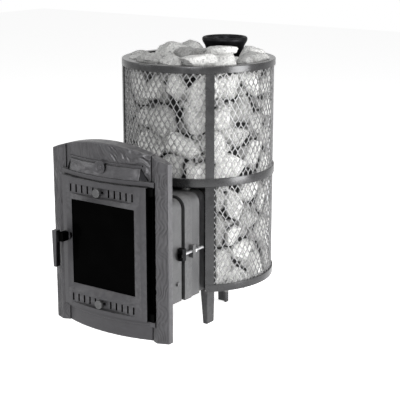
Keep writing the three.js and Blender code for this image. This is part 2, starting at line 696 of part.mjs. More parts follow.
// Flue
const riserLow = LID_HIGH + FIT;
const riserHigh = COLLAR_LOW - FIT;
const riserBore = upright(FLUE_BORE, riserLow - OVERCUT, riserHigh + OVERCUT, 0, FLUE_Y, FLUE_STEPS);
const riser = upright(RISER_OUTER, riserLow, riserHigh, 0, FLUE_Y, FLUE_STEPS);
place('flue_riser', 'sooty', riser.subtract(riserBore));

place('flue_collar', 'sooty', turned([
  [RISER_OUTER, COLLAR_LOW],
  [RISER_OUTER, RIM_Z],
  [COLLAR_MOUTH, COLLAR_HIGH - COLLAR_BAND],
  [COLLAR_MOUTH, COLLAR_HIGH - COLLAR_EDGE],
  [COLLAR_MOUTH - COLLAR_EDGE, COLLAR_HIGH],
  [COLLAR_BORE, COLLAR_HIGH],
  [COLLAR_BORE, RIM_Z],
  [FLUE_BORE, RIM_Z - SOCKET_SLOPE],
  [FLUE_BORE, COLLAR_LOW],
  [RISER_OUTER, COLLAR_LOW],
], FLUE_STEPS).translate([0, FLUE_Y, 0]));

// Stones: the filling round the firebox and over it, and the heap above the rim.
// A pebble is a sphere made a little square, with its half sizes along three axes.
function pebble(middle, axes, halves, steps, rings) {
  const geometry = new THREE.SphereGeometry(1, steps, rings);
  const position = geometry.getAttribute('position');
  const squared = (value) => Math.sign(value) * Math.abs(value) ** STONE_POWER;
  for (let i = 0; i < position.count; i += 1) {
    position.setXYZ(i, squared(position.getX(i)), squared(position.getY(i)), squared(position.getZ(i)));
  }
  const matrix = new THREE.Matrix4().makeBasis(...axes).setPosition(middle);
  return solid(geometry.scale(...halves).applyMatrix4(matrix));
}

// Stones share a flat wall out. Each takes the points nearest to it, counted by its pull, and moves to
// their middle, until the shares are settled. A share's spread gives its stone's length, width and turn.
function shareOut(low, high, wrap) {
  const size = [high[0] - low[0], high[1] - low[1]];
  const count = Math.round((size[0] * size[1]) / STONE_SIZE ** 2);
  const part = (i, step) => (0.5 + i * step) % 1;
  const stones = [];
  for (let i = 0; i < count; i += 1) {
    const x = low[0] + size[0] * part(i, SPREAD_ALONG);
    const z = low[1] + size[1] * part(i, SPREAD_UP);
    stones.push({ x, z, pull: PULL_LEAST + PULL_RANGE * part(i, SPREAD_PULL) });
  }
  for (let round = 0; round < STONE_ROUNDS; round += 1) {
    for (const stone of stones) Object.assign(stone, { points: 0, sumX: 0, sumZ: 0, xx: 0, xz: 0, zz: 0 });
    for (let x = low[0]; x < high[0]; x += STONE_PITCH) {
      for (let z = low[1]; z < high[1]; z += STONE_PITCH) {
        let nearest = { far: Infinity };
        for (const stone of stones) {
          const gap = x - stone.x;
          const dx = wrap ? gap - wrap * Math.round(gap / wrap) : gap;
          const dz = z - stone.z;
          const far = (dx * dx + dz * dz) / (stone.pull * stone.pull);
          if (far < nearest.far) nearest = { far, dx, dz, stone };
        }
        const { dx, dz, stone } = nearest;
        stone.points += 1;
        stone.sumX += dx;
        stone.sumZ += dz;
        stone.xx += dx * dx;
        stone.xz += dx * dz;
        stone.zz += dz * dz;
      }
    }
    for (const stone of stones) {
      stone.moveX = stone.sumX / Math.max(stone.points, 1);
      stone.moveZ = stone.sumZ / Math.max(stone.points, 1);
      stone.x += stone.moveX;
      stone.z += stone.moveZ;
    }
  }
  return stones.map(({ x, z, points, moveX, moveZ, xx, xz, zz }) => {
    const alongX = xx / points - moveX * moveX;
    const alongZ = zz / points - moveZ * moveZ;
    const mixed = xz / points - moveX * moveZ;
    const mean = (alongX + alongZ) / 2;
    const root = Math.hypot((alongX - alongZ) / 2, mixed);
    const turn = Math.atan2(2 * mixed, alongX - alongZ) / 2;
    return { x, z, turn, long: 2 * Math.sqrt(mean + root), wide: 2 * Math.sqrt(Math.max(mean - root, 1)) };
  });
}

// How far the firebox reaches from the cage's axis: its front, its sides, or the circle of its back
function fireboxReach(angle) {
  const sine = Math.abs(Math.sin(angle));
  const cosine = Math.cos(angle);
  const back = Math.sqrt(FIREBOX_HALF ** 2 - (FIREBOX_STRAIGHT * sine) ** 2) - FIREBOX_STRAIGHT * cosine;
  if (-back * cosine > FIREBOX_STRAIGHT) return back;
  return Math.min(FIREBOX_HALF / sine, cosine > 0 ? -FIREBOX_FRONT / cosine : Infinity);
}

// Stones of a wall behind the net, from one plan angle to another, as deep as the firebox lets them be
function stonesBehindNet(from, to, low, high, wrap) {
  return shareOut([from * STONE_FACE, low], [to * STONE_FACE, high], wrap).map((stone) => {
    const angle = stone.x / STONE_FACE;
    const room = (STONE_FACE - STONE_ROOM - fireboxReach(angle)) / 2;
    const depth = Math.min(room, ((stone.long + stone.wide) / 2) * STONE_DEPTH);
    const outward = new THREE.Vector3(Math.sin(angle), -Math.cos(angle), 0);
    const level = new THREE.Vector3(Math.cos(angle), Math.sin(angle), 0);
    const rise = new THREE.Vector3(0, 0, 1);
    const [sine, cosine] = [Math.sin(stone.turn), Math.cos(stone.turn)];
    const length = level.clone().multiplyScalar(cosine).addScaledVector(rise, sine);
    const breadth = rise.clone().multiplyScalar(cosine).addScaledVector(level, -sine);
    const middle = outward.clone().multiplyScalar(STONE_FACE - depth).addScaledVector(rise, stone.z);
    const halves = [depth, stone.long * STONE_SHARE, stone.wide * STONE_SHARE];
    return pebble(middle, [outward, length, breadth], halves, FILL_STEPS, FILL_RINGS);
  });
}

// Hollows shut in between packed stones are filled
function packed(body) {
  const outside = body.decompose().filter((shell) => shell.volume() > 0);
  return wasm.Manifold.compose(outside).simplify(TIDY);
}

const fireboxRoom = prism(fireboxOutline(-FIT), 0, LID_HIGH + FIT);
const riserRoom = upright(RISER_OUTER + FIT, 0, RIM_Z, 0, FLUE_Y, FLUE_STEPS);
const fillBay = box(-FAR, FAR, -FAR, FIREBOX_FRONT + FIT, 0, SHELF_LOW + SHELF_THICK + FIT);
const fillRoom = disc(FILL_RADIUS, BASE_TOP + FIT, FILL_TOP);
const fillCore = disc(FILL_RADIUS - STONE_BACK, BASE_TOP + FIT, FILL_TOP)
  .add(prism(fireboxOutline(-STONE_COVER), BASE_TOP + FIT, FILL_TOP));
const bayAngle = THREE.MathUtils.degToRad(bayEdge);
const wallStones = [
  ...stonesBehindNet(0, 2 * Math.PI, MIDDLE_Z, FILL_TOP, 2 * Math.PI * STONE_FACE),
  ...stonesBehindNet(bayAngle, 2 * Math.PI - bayAngle, BASE_TOP, MIDDLE_Z, 0),
];
const fillBody = wasm.Manifold.union([fillCore, ...wallStones]).simplify(ROUGHLY)
  .intersect(fillRoom).subtract(fireboxRoom).subtract(riserRoom).subtract(fillBay);
place('stone_fill', 'stone', packed(fillBody));

// Cobbles of the heap: place in parts of the rim's mouth, then the middle's rise over the rim and the half
// sizes in parts of half a stone, and the turn of the long side in degrees
const COBBLES = [
  { x: 0.46, y: -0.68, rise: 0.16, long: 1.43, wide: 0.92, high: 0.55, turn: 37 },
  { x: 0.75, y: -0.42, rise: 0.21, long: 1.01, wide: 0.83, high: 0.55, turn: 30 },
  { x: 0.72, y: -0.38, rise: 0.79, long: 0.92, wide: 0.74, high: 0.37, turn: 25 },
  { x: 0.13, y: -0.81, rise: 0.07, long: 0.92, wide: 0.78, high: 0.51, turn: 25 },
  { x: -0.27, y: -0.81, rise: -0.02, long: 1.06, wide: 0.83, high: 0.55, turn: -18 },
  { x: -0.64, y: -0.6, rise: -0.07, long: 0.92, wide: 0.78, high: 0.41, turn: -48 },
  { x: -0.33, y: -0.32, rise: 0.44, long: 1.38, wide: 0.97, high: 0.74, turn: 28 },
  { x: -0.85, y: -0.23, rise: -0.11, long: 0.97, wide: 0.69, high: 0.41, turn: 75 },
  { x: -0.34, y: 0.2, rise: 0.3, long: 1.2, wide: 1.01, high: 0.78, turn: -20 },
  { x: -0.8, y: 0.23, rise: -0.02, long: 1.06, wide: 0.83, high: 0.51, turn: 100 },
  { x: -0.58, y: 0.62, rise: 0.02, long: 1.1, wide: 0.83, high: 0.55, turn: 130 },
  { x: 0.08, y: -0.32, rise: 0.3, long: 1.2, wide: 1.01, high: 0.74, turn: -15 },
  { x: 0.45, y: -0.16, rise: 0.25, long: 1.15, wide: 0.97, high: 0.69, turn: 60 },
  { x: 0.88, y: -0.09, rise: -0.02, long: 0.6, wide: 0.55, high: 0.41, turn: 0 },
  { x: 0.82, y: 0.26, rise: 0.02, long: 0.92, wide: 0.78, high: 0.55, turn: 75 },
  { x: 0.55, y: 0.58, rise: 0.07, long: 1.15, wide: 0.87, high: 0.6, turn: -45 },
  { x: 0.16, y: 0.16, rise: 0.11, long: 1.01, wide: 0.87, high: 0.64, turn: 10 },
];
const rimMouth = BAND_INNER - RIM_LIP;
function cobble({ x, y, rise, long, wide, high, turn }) {
  const unit = STONE_SIZE / 2;
  const angle = THREE.MathUtils.degToRad(turn);
  const axes = [
    new THREE.Vector3(Math.cos(angle), Math.sin(angle), 0),
    new THREE.Vector3(-Math.sin(angle), Math.cos(angle), 0),
    new THREE.Vector3(0, 0, 1),
  ];
  const middle = new THREE.Vector3(x * rimMouth, y * rimMouth, RIM_Z + rise * unit);
  return pebble(middle, axes, [long * unit, wide * unit, high * unit], COBBLE_STEPS, COBBLE_RINGS);
}
const collarRoom = upright(COLLAR_MOUTH + FIT, FILL_TOP, COLLAR_HIGH, 0, FLUE_Y, FLUE_STEPS);
const bedTop = RIM_Z - BAND_THICK - FIT;
const underRim = disc(FILL_RADIUS, FILL_TOP + FIT, bedTop)
  .add(disc(rimMouth - FIT, FILL_TOP + FIT, COLLAR_HIGH + COLLAR_TOP));
const heapBed = disc(FILL_RADIUS, FILL_TOP + FIT, FILL_TOP + FIT + STONE_BED);
const heapBody = wasm.Manifold.union([heapBed, ...COBBLES.map(cobble)])
  .intersect(underRim).subtract(collarRoom).subtract(riserRoom);
place('stone_heap', 'stone', packed(heapBody));

// Shelf and screens that keep the stones off the tunnel
const shelfBay = box(-FAR, FAR, -FAR, FIREBOX_FRONT - FIT, SHELF_LOW, SHELF_LOW + SHELF_THICK);
place('stone_shelf', 'plate', disc(MESH_INNER - FIT, SHELF_LOW, SHELF_LOW + SHELF_THICK).intersect(shelfBay));
const screenRoom = disc(MESH_INNER - FIT, 0, RIM_Z);
const screenRise = [BASE_TOP + FIT, SHELF_LOW - FIT];
const screen = box(NECK_HALF + FIT, FAR, SCREEN_FRONT, FIREBOX_FRONT - FIT, ...screenRise)
  .intersect(screenRoom);
place('screen_right', 'plate', screen);
place('screen_left', 'plate', screen.mirror([1, 0, 0]));

// Tunnel: a box section with rounded upper corners
function tunnelOutline(half, low, high, corner) {
  const points = [new THREE.Vector2(-half, low), new THREE.Vector2(half, low)];
  for (const [centre, from] of [[half - corner, 0], [corner - half, Math.PI / 2]]) {
    for (let i = 0; i <= CORNER_STEPS; i += 1) {
      const angle = from + (Math.PI / 2) * (i / CORNER_STEPS);
      const x = centre + corner * Math.cos(angle);
      points.push(new THREE.Vector2(x, high - corner + corner * Math.sin(angle)));
    }
  }
  return points;
}
const tunnelOuter = (grow) =>
  tunnelOutline(TUNNEL_HALF + grow, TUNNEL_LOW - Math.min(grow, 0), TUNNEL_HIGH + grow, TUNNEL_CORNER + grow);
const tunnelInner = tunnelOutline(TUNNEL_HALF - TUNNEL_WALL, TUNNEL_FLOOR, TUNNEL_CEILING,
  TUNNEL_CORNER - TUNNEL_WALL);
const tunnelBore = prismAlongY(tunnelInner, PORTAL_BACK - FAR, NECK_FRONT - TUNNEL_WALL);
const neckOuter = tunnelOutline(NECK_HALF, TUNNEL_LOW, TUNNEL_HIGH, TUNNEL_CORNER);
const neckBore = box(-NECK_INNER, NECK_INNER, NECK_FRONT - FAR, FIREBOX_FRONT + OVERCUT, TUNNEL_FLOOR,
  TUNNEL_CEILING - TUNNEL_CORNER);

const portalFlange = prismAlongY(tunnelOuter(PORTAL_FLANGE), PORTAL_BACK + FIT, PORTAL_BACK + PORTAL_FLANGE);
place('tunnel_front', 'tunnel', prismAlongY(tunnelOuter(0), PORTAL_BACK + FIT, FRONT_END)
  .add(portalFlange).subtract(tunnelBore));

place('tunnel_seal', 'rope',
  prismAlongY(tunnelOuter(-SEAL_INSET), TUNNEL_JOINT - FIT - SEAL_LENGTH, TUNNEL_JOINT - FIT)
    .subtract(tunnelBore));

const rearFlange = prismAlongY(tunnelOuter(TUNNEL_FLANGE), TUNNEL_JOINT, TUNNEL_JOINT + FLANGE_LENGTH);
place('tunnel_rear', 'tunnel', prismAlongY(tunnelOuter(0), TUNNEL_JOINT, NECK_FRONT)
  .add(rearFlange)
  .add(prismAlongY(neckOuter, NECK_FRONT - OVERCUT, FIREBOX_FRONT - FIT))
  .subtract(tunnelBore)
  .subtract(neckBore));

// Clamps: a hook on the front casting, a lug on the rear one, and the bolt that draws them together
const clampX = TUNNEL_HALF + TUNNEL_FLANGE + CLAMP_WIDTH * CLAMP_SEAT;
const clampZ = TUNNEL_LOW + CLAMP_RISE;
const hookBack = FRONT_END - HOOK_SETBACK;
const lugFront = TUNNEL_JOINT + FLANGE_LENGTH - LUG_LENGTH;
const clampHole = rodAlongY(CLAMP_BOLT + FIT, PORTAL_BACK, FIREBOX_FRONT, clampX, clampZ);
const clampRise = [clampZ - CLAMP_HEIGHT / 2, clampZ + CLAMP_HEIGHT / 2];
const hook = box(TUNNEL_HALF + FIT, clampX + CLAMP_WIDTH / 2, hookBack - HOOK_LENGTH, hookBack, ...clampRise)
  .subtract(clampHole);
const lug = box(TUNNEL_HALF + TUNNEL_FLANGE + FIT, clampX + CLAMP_WIDTH / 2, lugFront, lugFront + LUG_LENGTH,
  ...clampRise).subtract(clampHole);
const lugBack = lugFront + LUG_LENGTH;
const headEnd = hookBack - HOOK_LENGTH - FIT;
const clampBolt = rodAlongY(CLAMP_BOLT, headEnd - OVERCUT, lugBack + CLAMP_REACH, clampX, clampZ)
  .add(rodAlongY(CLAMP_HEAD, headEnd - CLAMP_HEAD_LENGTH, headEnd, clampX, clampZ, HEX))
  .add(rodAlongY(CLAMP_HEAD, lugBack + FIT, lugBack + FIT + CLAMP_HEAD_LENGTH, clampX, clampZ, HEX));
const sideBolt = rodAlongX(SIDE_BOLT, TUNNEL_HALF + FIT, TUNNEL_HALF + FIT + SIDE_BOLT_HEAD,
  FRONT_END - SIDE_BOLT_SETBACK, TUNNEL_LOW + SIDE_BOLT_RISE);
for (const [side, turn] of [['right', (body) => body], ['left', (body) => body.mirror([1, 0, 0])]]) {
  place(`clamp_hook_${side}`, 'plate', turn(hook));
  place(`clamp_lug_${side}`, 'tunnel', turn(lug));
  place(`clamp_bolt_${side}`, 'steel', turn(clampBolt));
  place(`tunnel_bolt_${side}`, 'tunnel', turn(sideBolt));
}

// Portal: ridged pilasters, bowed apron and crown, under an arch
function portalPlan() {
  return [
    new THREE.Vector2(-PORTAL_HALF, PORTAL_BACK),
    new THREE.Vector2(-PORTAL_HALF, PORTAL_BACK - SIDE_DEPTH),
    new THREE.Vector2(-RIDGE_HALF, PORTAL_BACK - RIDGE_DEPTH),
    ...bowLine(BOW_HALF, BOW_EDGE_Y, BOW_RISE),
    new THREE.Vector2(RIDGE_HALF, PORTAL_BACK - RIDGE_DEPTH),
    new THREE.Vector2(PORTAL_HALF, PORTAL_BACK - SIDE_DEPTH),
    new THREE.Vector2(PORTAL_HALF, PORTAL_BACK),
  ];
}
function archOutline() {
  const radius = (PORTAL_HALF ** 2 + ARCH_RISE ** 2) / (2 * ARCH_RISE);
  const points = [-PORTAL_HALF, PORTAL_HALF].map((x) => new THREE.Vector2(x, PORTAL_GROUND));
  for (let i = 0; i <= BOW_STEPS; i += 1) {
    const x = PORTAL_HALF - (2 * PORTAL_HALF * i) / BOW_STEPS;
    points.push(new THREE.Vector2(x, SIDE_TOP + ARCH_RISE - radius + Math.sqrt(radius * radius - x * x)));
  }
  return points;
}
// A strip that follows the bow, from inner to outer distance in front of it.
function bowStrip(inner, outer, reach) {
  const front = bowLine(BOW_HALF, BOW_EDGE_Y - outer, BOW_RISE, reach);
  const back = bowLine(BOW_HALF, BOW_EDGE_Y - inner, BOW_RISE, reach);
  return [...front, ...back.reverse()];
}
const ledgeReach = (BOW_HALF + RIDGE_HALF) / 2;
const through = [PORTAL_BACK - FAR, PORTAL_BACK + OVERCUT];
const recess = box(-BOW_HALF, HINGE_POCKET, PORTAL_BACK - FAR, PLATE_FRONT, RECESS_LOW, RECESS_HIGH);
const throat = box(-THROAT_HALF, THROAT_HALF, ...through, THROAT_LOW, THROAT_HIGH);
const notch = box(NOTCH_X, 0, ...through, LATCH_Z - NOTCH_HALF, LATCH_Z + NOTCH_HALF);
// Bearings of the hinge pins, above and below the door's eyes
const pinBearing = (low, high) =>
  box(BOW_HALF, HINGE_POCKET + OVERCUT, HINGE_Y - PIN_RADIUS, PLATE_FRONT + OVERCUT, low, high);
const portalBlock = prism(portalPlan(), 0, RIM_Z)
  .intersect(prismAlongY(archOutline(), ...through))
  .add(prism(bowStrip(-SIDE_DEPTH / 2, LEDGE_OUT, ledgeReach), RECESS_HIGH, LEDGE_TOP))
  .add(prism(bowStrip(-SIDE_DEPTH / 2, LIP_OUT, ledgeReach), RECESS_LOW - LIP_HEIGHT, RECESS_LOW))
  .add(pinBearing(RECESS_HIGH, LEDGE_TOP))
  .add(pinBearing(RECESS_LOW - LIP_HEIGHT, RECESS_LOW))
  .subtract(recess)
  .subtract(throat)
  .subtract(notch);
// The block comes apart into two pilasters, a crown, an apron and the plate behind the door.
const portalPiece = (x0, x1, z0, z1) =>
  portalBlock.intersect(box(x0, x1, ...through, z0, z1));
const seamHalf = BOW_HALF - FIT;
place('portal_pilaster_left', 'iron', portalPiece(-FAR, -BOW_HALF, 0, RIM_Z));
place('portal_pilaster_right', 'iron', portalPiece(BOW_HALF, FAR, 0, RIM_Z));
place('portal_crown', 'iron', portalPiece(-seamHalf, seamHalf, RECESS_HIGH, RIM_Z));
place('portal_apron', 'iron', portalPiece(-seamHalf, seamHalf, 0, RECESS_LOW));
place('portal_plate', 'iron', portalPiece(-seamHalf, seamHalf, RECESS_LOW + FIT, RECESS_HIGH - FIT));

const plaqueLow = LEDGE_TOP + FIT;
const plaqueHalf = BOW_HALF - PLAQUE_INSET;
function plaqueOutline(grow) {
  const top = plaqueLow + PLAQUE_HEIGHT + grow;
  return [
    new THREE.Vector2(-plaqueHalf - grow, plaqueLow - grow),
    new THREE.Vector2(plaqueHalf + grow, plaqueLow - grow),
    new THREE.Vector2(plaqueHalf - PLAQUE_SLANT + grow, top),
    new THREE.Vector2(PLAQUE_SLANT - plaqueHalf - grow, top),
  ];
}
const plaqueBody = (grow) =>
  prism(bowStrip(FIT - grow, PLAQUE_OUT + grow, BOW_HALF), plaqueLow - OVERCUT, RIM_Z)
    .intersect(prismAlongY(plaqueOutline(grow), PORTAL_BACK - FAR, PORTAL_BACK));
place('crown_plaque', 'iron', plaqueBody(0));

// A round boss with a raised rim and a raised middle, laid on the plaque and the crown behind it
const bowFront = BOW_EDGE_Y - BOW_RISE;
const medallionFront = PLAQUE_OUT + MEDALLION_OUT;
const medallionBack = -BOW_RISE;
const medallion = turned([
  [0, medallionBack],
  [MEDALLION_RADIUS, medallionBack],
  [MEDALLION_RADIUS, medallionFront - MEDALLION_EDGE],
  [MEDALLION_RADIUS - MEDALLION_EDGE, medallionFront],
  [MEDALLION_RADIUS - MEDALLION_RIM, medallionFront],
  [MEDALLION_RADIUS - MEDALLION_RIM - MEDALLION_SLOPE, medallionFront - MEDALLION_DISH],
  [MEDALLION_BOSS + MEDALLION_SLOPE, medallionFront - MEDALLION_DISH],
  [MEDALLION_BOSS, medallionFront],
  [0, medallionFront],
], KNOB_STEPS).rotate([90, 0, 0]).translate([0, bowFront, LEDGE_TOP + MEDALLION_RISE]);
const crownRoom = prism(bowStrip(-FAR, FIT, BOW_HALF), 0, RIM_Z);
const ledgeRoom = box(-BOW_HALF, BOW_HALF, PORTAL_BACK - FAR, PORTAL_BACK, 0, LEDGE_TOP + FIT);
place('crown_medallion', 'iron', medallion.subtract(crownRoom).subtract(plaqueBody(FIT)).subtract(ledgeRoom));

const hingePin = (low, high) => upright(PIN_RADIUS, low, high, HINGE_X, HINGE_Y);
place('hinge_pin_upper', 'steel', hingePin(RECESS_HIGH - PIN_LENGTH, RECESS_HIGH - FIT));
place('hinge_pin_lower', 'steel', hingePin(RECESS_LOW + FIT, RECESS_LOW + PIN_LENGTH));

// Door leaf: a bowed slab with a sloping border round the glass, flat vents and hinge eyes
const doorBow = (x) => bowY(x, DOOR_HALF, DOOR_EDGE_Y, DOOR_BOW);
const doorPlan = [
  ...bowLine(DOOR_HALF, DOOR_EDGE_Y, DOOR_BOW),
  new THREE.Vector2(DOOR_HALF, DOOR_BACK),
  new THREE.Vector2(-DOOR_HALF, DOOR_BACK),
];
function rim(half, low, high, depth) {
  const points = [];
  for (let i = 0; i < RIM_STEPS; i += 1) points.push([-half + (2 * half * i) / RIM_STEPS, low]);
  points.push([half, low]);
  for (let i = 0; i < RIM_STEPS; i += 1) points.push([half - (2 * half * i) / RIM_STEPS, high]);
  points.push([-half, high]);
  return points.map(([x, z]) => new THREE.Vector3(x, depth(x), z));
}
const flareHalf = GLASS_HALF + FLARE;
const lipFront = doorBow(flareHalf) + FLARE_DROP;
const glassPlane = lipFront + GLASS_LIP;
const windowCut = loft([
  rim(flareHalf, GLASS_LOW - FLARE, GLASS_HIGH + FLARE, () => doorBow(0) - FLARE),
  rim(flareHalf, GLASS_LOW - FLARE, GLASS_HIGH + FLARE, doorBow),
  rim(GLASS_HALF, GLASS_LOW, GLASS_HIGH, () => lipFront),
  rim(GLASS_HALF, GLASS_LOW, GLASS_HIGH, () => DOOR_BACK + OVERCUT),
]);
const glassHalf = GLASS_HALF + GLASS_LAP;
const glassPocket = box(-glassHalf - FIT, glassHalf + FIT, glassPlane, DOOR_BACK + OVERCUT,
  GLASS_LOW - GLASS_LAP - FIT, GLASS_HIGH + GLASS_LAP + FIT);

const slotCentres = [];
for (let i = 0; i < SLOTS_A_SIDE; i += 1) {
  const x = SLOT_START + SLOT_PITCH * i;
  slotCentres.push(-x, x);
}
function slots(z, front, back) {
  const cuts = slotCentres.map((x) =>
    box(x - SLOT_WIDTH / 2, x + SLOT_WIDTH / 2, front, back, z - SLOT_HEIGHT / 2, z + SLOT_HEIGHT / 2));
  return cuts.reduce((all, cut) => all.add(cut));
}
const slideHalf = SLOT_LAST + SLOT_WIDTH / 2 + SLIDE_END;
const slidePocketBack = VENT_PLANE + VENT_WEB;
function ventCuts(z) {
  const rise = [z - VENT_HEIGHT / 2, z + VENT_HEIGHT / 2];
  const face = box(-DOOR_HALF, DOOR_HALF, doorBow(0) - FLARE, VENT_PLANE, ...rise);
  const pocketEnds = [-slideHalf - RUN_GAP, slideHalf + SLIDE_TRAVEL + RUN_GAP];
  const pocket = box(...pocketEnds, slidePocketBack, DOOR_BACK + OVERCUT, ...rise);
  const travel = box(STEM_X - STEM_RADIUS - RUN_GAP, STEM_X + SLIDE_TRAVEL + STEM_RADIUS + RUN_GAP,
    VENT_PLANE - OVERCUT, DOOR_BACK, z - STEM_RADIUS - RUN_GAP, z + STEM_RADIUS + RUN_GAP);
  return face.add(pocket).add(travel).add(slots(z, VENT_PLANE - OVERCUT, DOOR_BACK));
}
function hingeEye(low, high) {
  return upright(HINGE_EYE, low, high, HINGE_X, HINGE_Y)
    .add(box(DOOR_HALF - HINGE_EYE, HINGE_X, HINGE_Y - HINGE_EYE, HINGE_Y + HINGE_EYE, low, high));
}
const hingeBore = upright(PIN_RADIUS + RUN_GAP, RECESS_LOW, RECESS_HIGH, HINGE_X, HINGE_Y);
const onLatchAxis = (radius, front, back) => rodAlongY(radius, front, back, LATCH_X, LATCH_Z, KNOB_STEPS);
const latchPad = onLatchAxis(PAD_RADIUS, PAD_PLANE, DOOR_BACK - OVERCUT);
const latchBore = onLatchAxis(SPINDLE_RADIUS + RUN_GAP, PAD_PLANE - OVERCUT, DOOR_BACK + OVERCUT);
place('door_frame', 'iron', prism(doorPlan, DOOR_LOW, DOOR_HIGH)
  .subtract(windowCut)
  .add(hingeEye(DOOR_LOW, DOOR_LOW + HINGE_LUG))
  .add(hingeEye(DOOR_HIGH - HINGE_LUG, DOOR_HIGH))
  .add(latchPad)
  .subtract(hingeBore)
  .subtract(glassPocket)
  .subtract(ventCuts(UPPER_VENT_Z))
  .subtract(ventCuts(LOWER_VENT_Z))
  .subtract(latchBore));

const glassBack = glassPlane + FIT + GLASS_THICK;
place('door_glass', 'glass', box(-glassHalf, glassHalf, glassPlane + FIT, glassBack,
  GLASS_LOW - GLASS_LAP, GLASS_HIGH + GLASS_LAP));

const retainerHole = rectangle(-glassHalf + RETAINER_WIDTH, glassHalf - RETAINER_WIDTH,
  GLASS_LOW - GLASS_LAP + RETAINER_WIDTH, GLASS_HIGH + GLASS_LAP - RETAINER_WIDTH);
place('glass_retainer', 'plate', prismAlongY(
  rectangle(-glassHalf, glassHalf, GLASS_LOW - GLASS_LAP, GLASS_HIGH + GLASS_LAP),
  glassBack + FIT, glassBack + FIT + RETAINER_THICK, [retainerHole]));

const sealHalf = DOOR_HALF - DOOR_SEAL_INSET;
const sealLow = DOOR_LOW + DOOR_SEAL_INSET;
const sealHigh = DOOR_HIGH - DOOR_SEAL_INSET;
place('door_seal', 'rope', prismAlongY(rectangle(-sealHalf, sealHalf, sealLow, sealHigh),
  DOOR_BACK + FIT, PLATE_FRONT - FIT,
  [rectangle(-sealHalf + DOOR_SEAL, sealHalf - DOOR_SEAL, sealLow + DOOR_SEAL, sealHigh - DOOR_SEAL)]));

// Air slides: slotted plates behind the door's slots, each with a knob on a stem
const slideFront = slidePocketBack + FIT;
const slideBack = slideFront + SLIDE_THICK;
const knobBack = VENT_PLANE - KNOB_GAP;
for (const [name, z] of [['upper', UPPER_VENT_Z], ['lower', LOWER_VENT_Z]]) {
  const plateHalf = VENT_HEIGHT / 2 - RUN_GAP;
  const stemHole = rodAlongY(STEM_RADIUS + FIT, slideFront - OVERCUT, slideBack + OVERCUT, STEM_X, z);
  const plate = box(-slideHalf, slideHalf, slideFront, slideBack, z - plateHalf, z + plateHalf);
  const plateSlots = slots(z, slideFront - OVERCUT, slideBack + OVERCUT);
  place(`${name}_slide`, 'plate', plate.subtract(plateSlots).subtract(stemHole));
  place(`${name}_knob`, 'tunnel', turned([
    [0, slideBack],
    [STEM_RADIUS, slideBack],
    [STEM_RADIUS, knobBack],
    [KNOB_RADIUS, knobBack],
    [KNOB_RADIUS, knobBack - KNOB_LENGTH + KNOB_EDGE],
    [KNOB_RADIUS - KNOB_EDGE, knobBack - KNOB_LENGTH],
    [0, knobBack - KNOB_LENGTH],
  ].map(([radius, y]) => [radius, -y]), KNOB_STEPS).rotate([90, 0, 0]).translate([STEM_X, 0, z]));
}

// Latch: handle, spindle through the door, tongue behind it
const spindleFront = GRIP_BACK + FIT;
const tongueFront = DOOR_BACK + TONGUE_SETBACK;
const tongueBack = tongueFront + TONGUE_THICK;
place('latch_spindle', 'steel', onLatchAxis(SPINDLE_RADIUS, spindleFront, tongueBack));
const spindleRoom = onLatchAxis(SPINDLE_RADIUS + FIT, spindleFront - FIT, tongueBack + OVERCUT);
const tongueEnd = onLatchAxis(TONGUE_HUB, tongueFront, tongueBack);
place('latch_tongue', 'plate', box(LATCH_X - TONGUE_HALF, LATCH_X + TONGUE_HALF, tongueFront, tongueBack,
  LATCH_Z, LATCH_Z + TONGUE_LENGTH).add(tongueEnd).subtract(spindleRoom));

const gripSide = [[-GRIP_HALF, GRIP_TOP], [-GRIP_TIP_HALF, -GRIP_BOTTOM], [GRIP_TIP_HALF, -GRIP_BOTTOM],
  [GRIP_HALF, GRIP_TOP]].map(([x, z]) => new THREE.Vector2(LATCH_X - GRIP_ASIDE + x, LATCH_Z + z));
place('door_handle', 'iron', prismAlongY(gripSide, GRIP_FRONT, GRIP_BACK)
  .add(box(LATCH_X - BOSS_HALF, LATCH_X + BOSS_HALF, GRIP_BACK - BOSS_CAP, PAD_PLANE - FIT,
    LATCH_Z - BOSS_HEIGHT / 2, LATCH_Z + BOSS_HEIGHT / 2))
  .subtract(spindleRoom));

// The origin is on the floor, in the middle of the whole heater's length.
const stove = new THREE.Group();
heater.position.y = -(GRIP_FRONT + CAGE_RADIUS) / 2;
stove.add(heater);

export default stove;
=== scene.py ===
# %% [markdown]
# The heater comes from its CAD source as one mesh for each piece, in metres, with Z up and the portal
# facing -Y. Those meshes are the frame. They are never moved, and each piece made below lies where its
# CAD node lies and rides on a body, so the door, the latch and the air slides still move.

# %% Load the CAD frame
import json
import math

import bmesh
import bpy
import numpy as np
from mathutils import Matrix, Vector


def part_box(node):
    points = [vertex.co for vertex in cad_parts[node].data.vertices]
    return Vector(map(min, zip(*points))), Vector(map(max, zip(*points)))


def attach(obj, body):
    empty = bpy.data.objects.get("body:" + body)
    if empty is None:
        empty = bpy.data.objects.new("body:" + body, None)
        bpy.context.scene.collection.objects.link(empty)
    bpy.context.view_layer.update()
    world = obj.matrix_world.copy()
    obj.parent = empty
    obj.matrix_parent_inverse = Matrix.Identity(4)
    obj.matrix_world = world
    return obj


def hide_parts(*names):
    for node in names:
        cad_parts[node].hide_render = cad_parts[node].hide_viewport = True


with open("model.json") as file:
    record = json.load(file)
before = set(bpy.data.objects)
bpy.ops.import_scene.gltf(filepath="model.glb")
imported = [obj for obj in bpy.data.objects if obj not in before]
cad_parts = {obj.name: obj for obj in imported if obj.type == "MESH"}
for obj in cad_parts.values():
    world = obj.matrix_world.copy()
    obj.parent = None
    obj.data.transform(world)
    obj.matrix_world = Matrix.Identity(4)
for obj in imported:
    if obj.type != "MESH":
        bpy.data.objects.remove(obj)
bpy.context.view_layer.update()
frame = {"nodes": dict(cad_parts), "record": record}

slot_of = {part["node"]: part["material_slot"] for part in frame["record"]["subparts"]}
